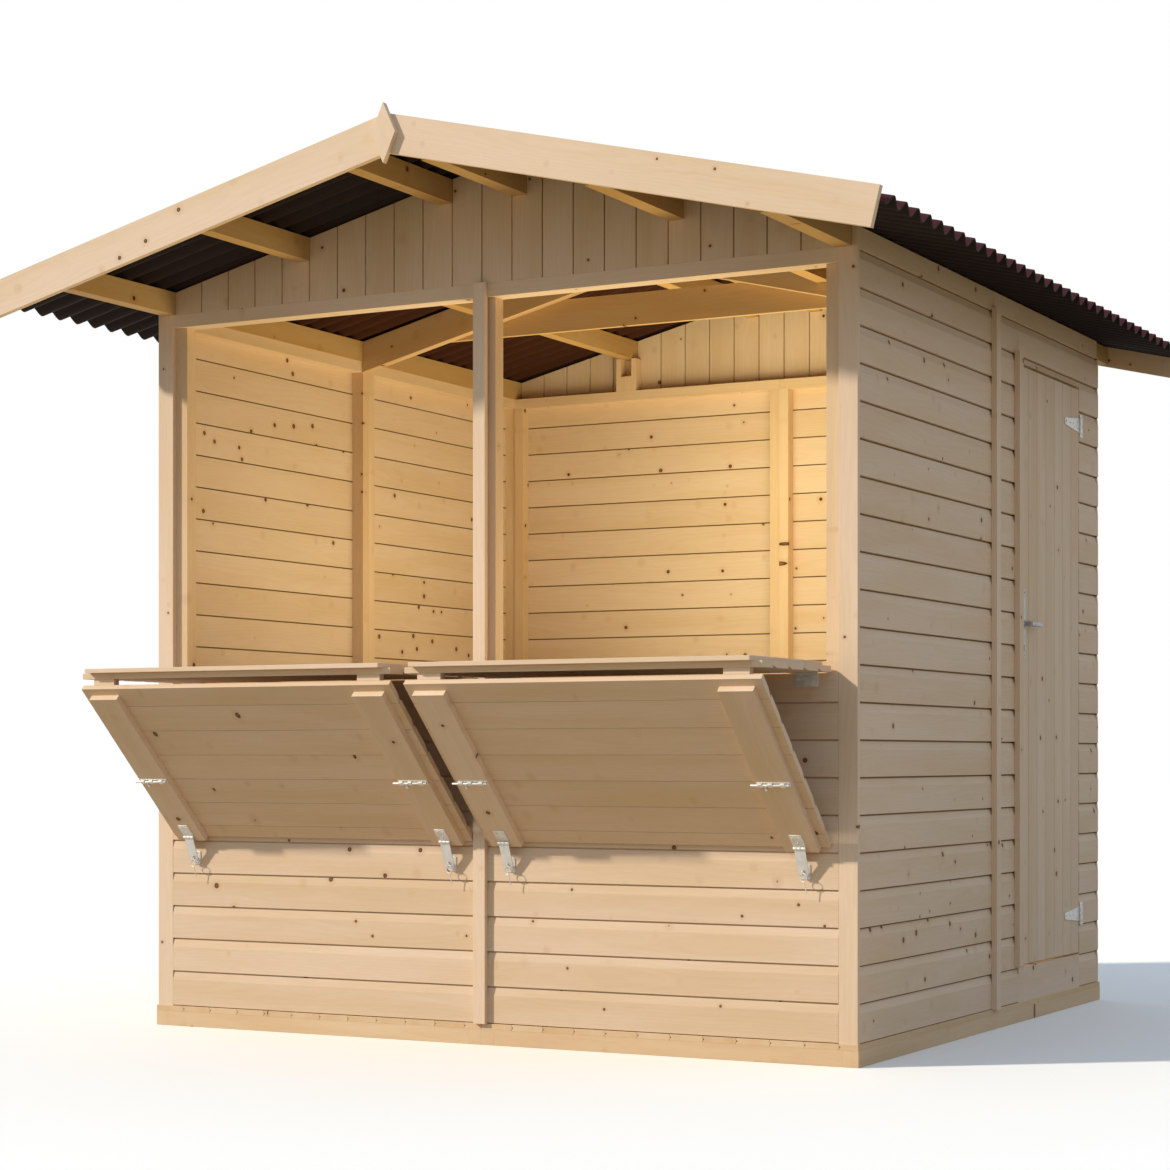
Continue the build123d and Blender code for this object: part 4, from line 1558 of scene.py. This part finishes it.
    def eye_plate(self, place: Matrix, size: Point, hole: float) -> None:
        """Add a strap that ends in a round eye.

        Args:
            place: the strap's frame: it runs along Y, and the eye's centre is at its length.
            size: width, length to the eye's centre, and thickness, in mm.
            hole: radius of the eye's hole.
        """
        width, length, thickness = size
        half = width / 2
        part = bmesh.new()
        bow = [math.radians(a) for a in range(0, 181, 15)]
        outer = [(half * math.cos(a), length + half * math.sin(a)) for a in bow]
        rim = [part.verts.new((x, y, 0)) for x, y in ((half, 0.0), *outer, (-half, 0.0))]
        edges = [part.edges.new((rim[i - 1], rim[i])) for i in range(len(rim))]
        ring = bmesh.ops.create_circle(part, segments=20, radius=hole)["verts"]
        bmesh.ops.translate(part, verts=ring, vec=(0, length, 0))
        edges += dict.fromkeys(e for v in ring for e in v.link_edges)
        made = bmesh.ops.triangle_fill(part, use_beauty=True, use_dissolve=False, edges=edges)
        faces = [g for g in made["geom"] if isinstance(g, bmesh.types.BMFace)]
        sweep(part, faces, Vector((0, 0, thickness)))
        self.join(part, place)

    def finish(self, palette: Palette, node: str, body: str = HUT, slot: Slot = Slot.ZINC) -> None:
        """Place the piece.

        Args:
            palette: the finishes.
            node: the CAD node that it replaces.
            body: the body that it rides on.
            slot: its material slot.
        """
        palette.place(self.name, self.mesh, slot, (node,), body, smooth=True)


@dataclass
class TowerBolts:
    """Tower bolts on the battens: a base plate, half-round cases, the rod and its knob."""

    hung: FoldedLeaf = FoldedLeaf()
    level: float = 346.0
    base: Point = (93.0, 14.0, 1.6)
    base_corner: float = 1.5
    case: Point = (13.0, 11.0, 6.6)
    case_foot: float = 1.4
    case_corner: float = 1.0
    case_round: float = 2.6
    case_places: Point = (-26.0, 8.0, 36.0)
    screw_places: Point = (-42.0, -8.0, 22.0)
    screw_aside: float = 4.6
    screw_lift: float = 1.5
    screw_radius: float = 1.9
    rod: Pair = (62.0, -44.0)
    rod_lift: float = 4.8
    rod_radius: float = 3.1
    knob: float = 23.0
    knob_lift: float = 5.2
    knob_neck: Pair = (1.0, 15.5)
    knob_neck_radius: float = 2.6
    knob_head: Pair = (13.0, 17.5)
    knob_head_radius: float = 3.5

    def build(self, palette: Palette) -> None:
        """Make the four bolts.

        Args:
            palette: the finishes.
        """
        shop = MetalShop("shutter_tower_bolts")
        sides = (-self.screw_aside, self.screw_aside)
        spots = tuple((x, y) for x in self.screw_places for y in sides)
        turned = (
            (self.knob_neck, self.knob_neck_radius),
            (self.knob_head, self.knob_head_radius),
        )
        for line in self.hung.battens:
            place = self.hung.batten(line, self.level)
            shop.plate(place, self.base, self.base_corner)
            for x in self.case_places:
                foot = place @ Matrix.Translation((x, 0, self.case_foot))
                shop.plate(foot, self.case, self.case_corner, self.case_round)
            shop.screws(place, spots, self.screw_lift, self.screw_radius)
            start, end = [(x, 0, self.rod_lift) for x in self.rod]
            shop.bar(place, start, end, self.rod_radius)
            for reach, radius in turned:
                start, end = [(self.knob, y, self.knob_lift) for y in reach]
                shop.bar(place, start, end, radius)
        shop.finish(palette, "shutter_bolts")


@dataclass
class Hasps:
    """Hasps on the battens: a screwed plate, a rolled knuckle and a tail with a round eye."""

    hung: FoldedLeaf = FoldedLeaf()
    level: float = 577.0
    base: Point = (35.0, 46.0, 2.2)
    base_corner: float = 3.0
    screws: tuple[Pair, ...] = ((-9.0, -36.0), (9.0, -36.0), (0.0, -17.0))
    screw_lift: float = 2.1
    screw_radius: float = 3.0
    knuckle: float = 4.5
    knuckle_half: float = 17.5
    knuckle_joint: Pair = (5.7, 6.0)
    tail_lean: float = 21.5
    tail_start: Point = (0.0, 3.4, -1.2)
    tail: Point = (30.0, 62.1, 2.4)
    hole: float = 7.0

    def build(self, palette: Palette) -> None:
        """Make the four hasps.

        Args:
            palette: the finishes.
        """
        shop = MetalShop("shutter_hasp_straps")
        for line in self.hung.battens:
            place = self.hung.batten(line, self.level)
            middle = place @ Matrix.Translation((0, -self.base[1] / 2, 0))
            shop.plate(middle, self.base, self.base_corner)
            shop.screws(place, self.screws, self.screw_lift, self.screw_radius)
            hinge = self.hung.batten(line, self.level, -self.knuckle, self.tail_lean)
            across = Vector((1, 0, 0))
            shop.knuckle(hinge, across, self.knuckle_half, self.knuckle_joint, self.knuckle)
            shop.eye_plate(hinge @ Matrix.Translation(self.tail_start), self.tail, self.hole)
        shop.finish(palette, "shutter_hasps")


@dataclass(frozen=True)
class FrontWall:
    """The weather face of the wall under the counters."""

    face: float = -880.2

    def frame(self, line: float, level: float) -> Matrix:
        """Frame on the face: X runs to the right, Y up and Z away from the hut."""
        return frame_at((line, self.face, level), (1, 0, 0), (0, 0, 1))


@dataclass
class Staples:
    """Staples on the wall, each with a turned eye, a wire ring and a hanging pin."""

    wall: FrontWall = FrontWall()
    lines: tuple[float, ...] = FoldedLeaf.battens
    level: float = 494.0
    base: Point = (26.0, 40.0, 2.0)
    base_corner: float = 4.0
    screws: tuple[Pair, ...] = ((0.0, -14.0), (0.0, 14.0))
    screw_lift: float = 1.9
    screw_radius: float = 3.0
    neck: Pair = (1.5, 19.0)
    neck_radius: float = 2.6
    eye_lift: float = 20.0
    eye: Point = (0.0, 0.0, -1.0)
    eye_radius: Pair = (5.0, 2.0)
    ring: Point = (2.0, -3.5, -14.5)
    ring_axis: Point = (0.25, 1.0, 0.1)
    ring_radius: Pair = (11.0, 1.1)
    pin_head: Point = (4.0, -4.0, -25.0)
    pin_tip: Point = (11.0, -1.0, -55.0)
    pin_radius: float = 1.3

    def build(self, palette: Palette) -> None:
        """Make the four staples.

        Args:
            palette: the finishes.
        """
        shop = MetalShop("hasp_staple_eyes")
        for line in self.lines:
            place = self.wall.frame(line, self.level)
            shop.plate(place, self.base, self.base_corner)
            shop.screws(place, self.screws, self.screw_lift, self.screw_radius)
            foot, head = [(0, 0, z) for z in self.neck]
            shop.bar(place, foot, head, self.neck_radius)
            eye = Matrix.Translation(place @ Vector((0, 0, self.eye_lift)))
            shop.ring(eye, self.eye, (1, 0, 0), *self.eye_radius)
            shop.ring(eye, self.ring, self.ring_axis, *self.ring_radius)
            shop.bar(eye, self.pin_head, self.pin_tip, self.pin_radius, 8)
        shop.finish(palette, "hasp_staples")


@dataclass
class CounterHinges:
    """Butt hinges: a leaf on the wall, a leaf under the counter, and the knuckle between."""

    wall: FrontWall = FrontWall()
    lines: tuple[float, ...] = (-965.5, -92.5, 92.5, 965.5)
    level: float = 984.0
    wall_leaf: Point = (66.0, 33.0, 2.3)
    under_leaf: Point = (66.0, 24.0, 2.3)
    under_place: Pair = (-892.5, 1003.8)
    corner: float = 2.0
    screws: tuple[Pair, ...] = ((-22.0, 3.0), (22.0, 3.0), (0.0, -9.0))
    screw_lift: float = 2.2
    screw_radius: float = 3.6
    knuckle_level: float = 999.2
    knuckle_out: float = 3.6
    knuckle_half: float = 33.0
    knuckle_joint: Pair = (10.8, 11.2)
    knuckle_radius: float = 3.4

    def build(self, palette: Palette) -> None:
        """Make the four hinges.

        Args:
            palette: the finishes.
        """
        shop = MetalShop("counter_butt_hinges")
        for line in self.lines:
            place = self.wall.frame(line, self.level)
            shop.plate(place, self.wall_leaf, self.corner)
            shop.screws(place, self.screws, self.screw_lift, self.screw_radius)
            under = frame_at((line, *self.under_place), (1, 0, 0), (0, -1, 0))
            shop.plate(under, self.under_leaf, self.corner)
            pin = Matrix.Translation((line, self.wall.face - self.knuckle_out, self.knuckle_level))
            across = Vector((1, 0, 0))
            shop.knuckle(
                pin, across, self.knuckle_half, self.knuckle_joint, self.knuckle_radius
            )
        shop.finish(palette, "counter_hinges")


@dataclass
class DoorHardware:
    """The door's tapered hinge straps, their plates on the wall, and the lever handle."""

    face: float = 1106.4
    hinge_levels: Pair = (290.0, 1840.0)
    pin_line: float = 973.0
    thickness: float = 2.3
    strap: tuple[Pair, ...] = ((0.0, 24.0), (-24.0, 21.0), (-140.0, 11.0))
    strap_tip: float = -144.0
    strap_tip_reach: float = 6.0
    strap_tip_angles: tuple[float, ...] = (0.3, 0.9, 1.57, 2.24, 2.84)
    strap_screws: tuple[Pair, ...] = (
        (-22.0, 11.0),
        (-22.0, -11.0),
        (-66.0, 0.0),
        (-100.0, 0.0),
        (-134.0, 0.0),
    )
    screw_lift: float = 2.2
    screw_radius: float = 3.8
    knuckle: float = 4.6
    knuckle_half: float = 24.0
    knuckle_joint: Pair = (7.8, 8.2)
    plate_offset: float = 18.4
    plate: Point = (26.0, 72.0, 2.3)
    plate_corner: float = 2.5
    plate_screws: tuple[Pair, ...] = ((0.0, -26.0), (5.0, 0.0), (0.0, 26.0))
    handle_place: Pair = (430.0, 1186.0)
    handle_plate: Point = (22.0, 210.0, 2.0)
    handle_corner: float = 10.0
    handle_rim: float = 0.7
    handle_screws: tuple[Pair, ...] = ((0.0, -94.0), (0.0, 94.0))
    handle_screw_lift: float = 1.9
    handle_screw_radius: float = 3.2
    turned: tuple[tuple[Point, Point, float, int], ...] = (
        ((0, 0, 1.5), (0, 0, 7.0), 10.0, 28),
        ((0, 0, 5.0), (0, 0, 29.6), 7.6, 24),
        ((-7.5, 0, 22.0), (92.0, 0, 22.0), 7.4, 24),
        ((0, -72.0, 1.5), (0, -72.0, 4.5), 8.0, 28),
    )

    def build(self, palette: Palette) -> None:
        """Make the straps, the plates and the handle.

        Args:
            palette: the finishes.
        """
        straps = MetalShop("door_tee_straps")
        plates = MetalShop("wall_hinge_plates")
        outline = self.outline()
        up = Vector((0, 1, 0))
        for level in self.hinge_levels:
            place = self.frame(self.pin_line, level)
            straps.strap(place, outline, self.thickness)
            straps.screws(place, self.strap_screws, self.screw_lift, self.screw_radius)
            pin = place @ Matrix.Translation((0, 0, self.knuckle))
            straps.knuckle(pin, up, self.knuckle_half, self.knuckle_joint, self.knuckle)
            place = self.frame(self.pin_line + self.plate_offset, level)
            plates.plate(place, self.plate, self.plate_corner)
            plates.screws(place, self.plate_screws, self.screw_lift, self.screw_radius)
        straps.finish(palette, "door_straps", DOOR)
        plates.finish(palette, "hinge_plates")
        self.handle(palette)

    def outline(self) -> list[Pair]:
        """Outline of a strap, from its root to its rounded tip and back.

        Returns:
            Points as distance from the pin and height.
        """
        below = [(x, -y) for x, y in reversed(self.strap)]
        end = self.strap[-1][1]
        tip = [
            (self.strap_tip - self.strap_tip_reach * math.sin(a), end * math.cos(a))
            for a in self.strap_tip_angles
        ]
        return [below[-1], *self.strap, *tip, *below[:-1]]

    def handle(self, palette: Palette) -> None:
        """Make the lever handle: a long plate, a neck, a rounded lever and a keyhole rose.

        Args:
            palette: the finishes.
        """
        shop = MetalShop("door_lever_handle")
        place = self.frame(*self.handle_place)
        shop.plate(place, self.handle_plate, self.handle_corner, self.handle_rim)
        shop.screws(
            place, self.handle_screws, self.handle_screw_lift, self.handle_screw_radius
        )
        for start, end, radius, segments in self.turned:
            shop.bar(place, start, end, radius, segments)
        shop.finish(palette, "door_handle", DOOR, Slot.HANDLE)

    def frame(self, y: float, z: float) -> Matrix:
        """Frame on the right wall's face: X runs to the back and Z looks outwards."""
        return frame_at((self.face, y, z), (0, 1, 0), (0, 0, 1))


@dataclass(frozen=True)
class Lamp:
    """A soft lamp inside the hut, in metres and degrees from looking down to looking up."""

    name: str
    power: float
    place: Point
    size: Pair
    turn: float


@dataclass
class Stage:
    """Camera, daylight and the white ground of the photograph, in metres and degrees."""

    camera_place: Point = (3.5425, -6.8624, 0.7884)
    camera_turn: Point = (90.0, 0.0, 28.2994)
    lens: float = 77.97
    sensor: float = 36.0
    shift_y: float = 0.14685
    sun_turn: Point = (58.6, 0.0, -51.6)
    sun_width: float = 2.5
    sun_strength: float = 3.38
    sun_colour: str = "fff6e6"
    sky_colour: str = "bfd0e4"
    sky_strength: float = 0.88
    white: Colour = (1.0, 1.0, 1.0, 1.0)
    floor_half: float = 60.0
    floor_level: float = -0.0005
    floor_seen: Colour = (0.985, 0.965, 0.93, 1.0)
    floor_bounce: Colour = (0.36, 0.29, 0.17, 1.0)
    floor_roughness: float = 0.9
    lamp_colour: str = "fbf6cb"
    lamps: tuple[Lamp, ...] = (
        Lamp("room_lamp", 28.0, (0.2, 0.05, 0.84), (1.4, 1.4), 180.0),
        Lamp("gable_lamp", 3.4, (0.3, 0.5, 1.74), (1.1, 0.3), 124.0),
    )

    def build(self) -> None:
        """Place the camera, the lights and the ground."""
        self.camera()
        self.sun()
        for lamp in self.lamps:
            self.room_lamp(lamp)
        self.sky()
        self.ground()
        bpy.context.scene.view_settings.view_transform = "Standard"

    @staticmethod
    def stand(data: bpy.types.ID, place: Point, turn: Point = (0, 0, 0)) -> bpy.types.Object:
        """Put a camera, a light or a mesh into the scene.

        Args:
            data: what is placed.
            place: its place in metres.
            turn: its turn about each axis, in degrees.

        Returns:
            The object.
        """
        obj = bpy.data.objects.new(data.name, data)
        obj.location = place
        obj.rotation_euler = [math.radians(angle) for angle in turn]
        bpy.context.scene.collection.objects.link(obj)
        return obj

    def camera(self) -> None:
        """Place the photograph's camera."""
        data = bpy.data.cameras.new("photo_camera")
        data.sensor_width = self.sensor
        data.lens = self.lens
        data.shift_y = self.shift_y
        data.clip_end = 200.0
        bpy.context.scene.camera = self.stand(data, self.camera_place, self.camera_turn)

    def sun(self) -> None:
        """Place the low sun on the right of the camera."""
        data = bpy.data.lights.new("sun", "SUN")
        data.energy = self.sun_strength
        data.color = linear(self.sun_colour)[:3]
        data.angle = math.radians(self.sun_width)
        self.stand(data, (0, 0, 0), self.sun_turn)

    def room_lamp(self, lamp: Lamp) -> None:
        """Light the room softly, as the sunlit floor does, with a lamp that no camera sees.

        Args:
            lamp: the lamp.
        """
        data = bpy.data.lights.new(lamp.name, "AREA")
        data.shape = "RECTANGLE"
        data.size, data.size_y = lamp.size
        data.energy = lamp.power
        data.color = linear(self.lamp_colour)[:3]
        obj = self.stand(data, lamp.place, (lamp.turn, 0, 0))
        obj.visible_camera = False
        obj.visible_glossy = False

    def sky(self) -> None:
        """Light the scene with a plain pale sky that looks white."""
        world = bpy.data.worlds.new("sky")
        bpy.context.scene.world = world
        n = NodeTree(world)
        light = n.add("Background", (linear(self.sky_colour), self.sky_strength))
        seen = n.add("Background", (self.white, 1.0))
        n.add("OutputWorld", (n.add("MixShader", (n.backdrop_rays(), light, seen)),))

    def ground(self) -> None:
        """Lay a white ground that fades into the backdrop and reflects a warmer light."""
        mesh = bmesh.new()
        bmesh.ops.create_grid(mesh, x_segments=2, y_segments=2, size=self.floor_half)
        data = bpy.data.meshes.new("ground")
        mesh.to_mesh(data)
        mesh.free()
        ground = self.stand(data, (0, 0, self.floor_level))
        n = FinishTree("white_ground")
        colours = {0: n.backdrop_rays(), 6: self.floor_bounce, 7: self.floor_seen}
        colour = n.add("Mix", colours, **COLOURS)
        data.materials.append(
            n.surface({"Base Color": colour, "Roughness": self.floor_roughness})
        )


def main() -> None:
    """Build the looks in order."""
    logging.basicConfig(level=logging.INFO)
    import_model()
    palette = Palette()
    for assembly in (
        LappedCladding(),
        GableBoards(),
        Timber(),
        FloorDeck(),
        DoorBoards(),
        Shutters(),
        RoofSheets(),
        TowerBolts(),
        Hasps(),
        Staples(),
        CounterHinges(),
        DoorHardware(),
    ):
        assembly.build(palette)
    Stage().build()


if __name__ == "__main__":
    main()
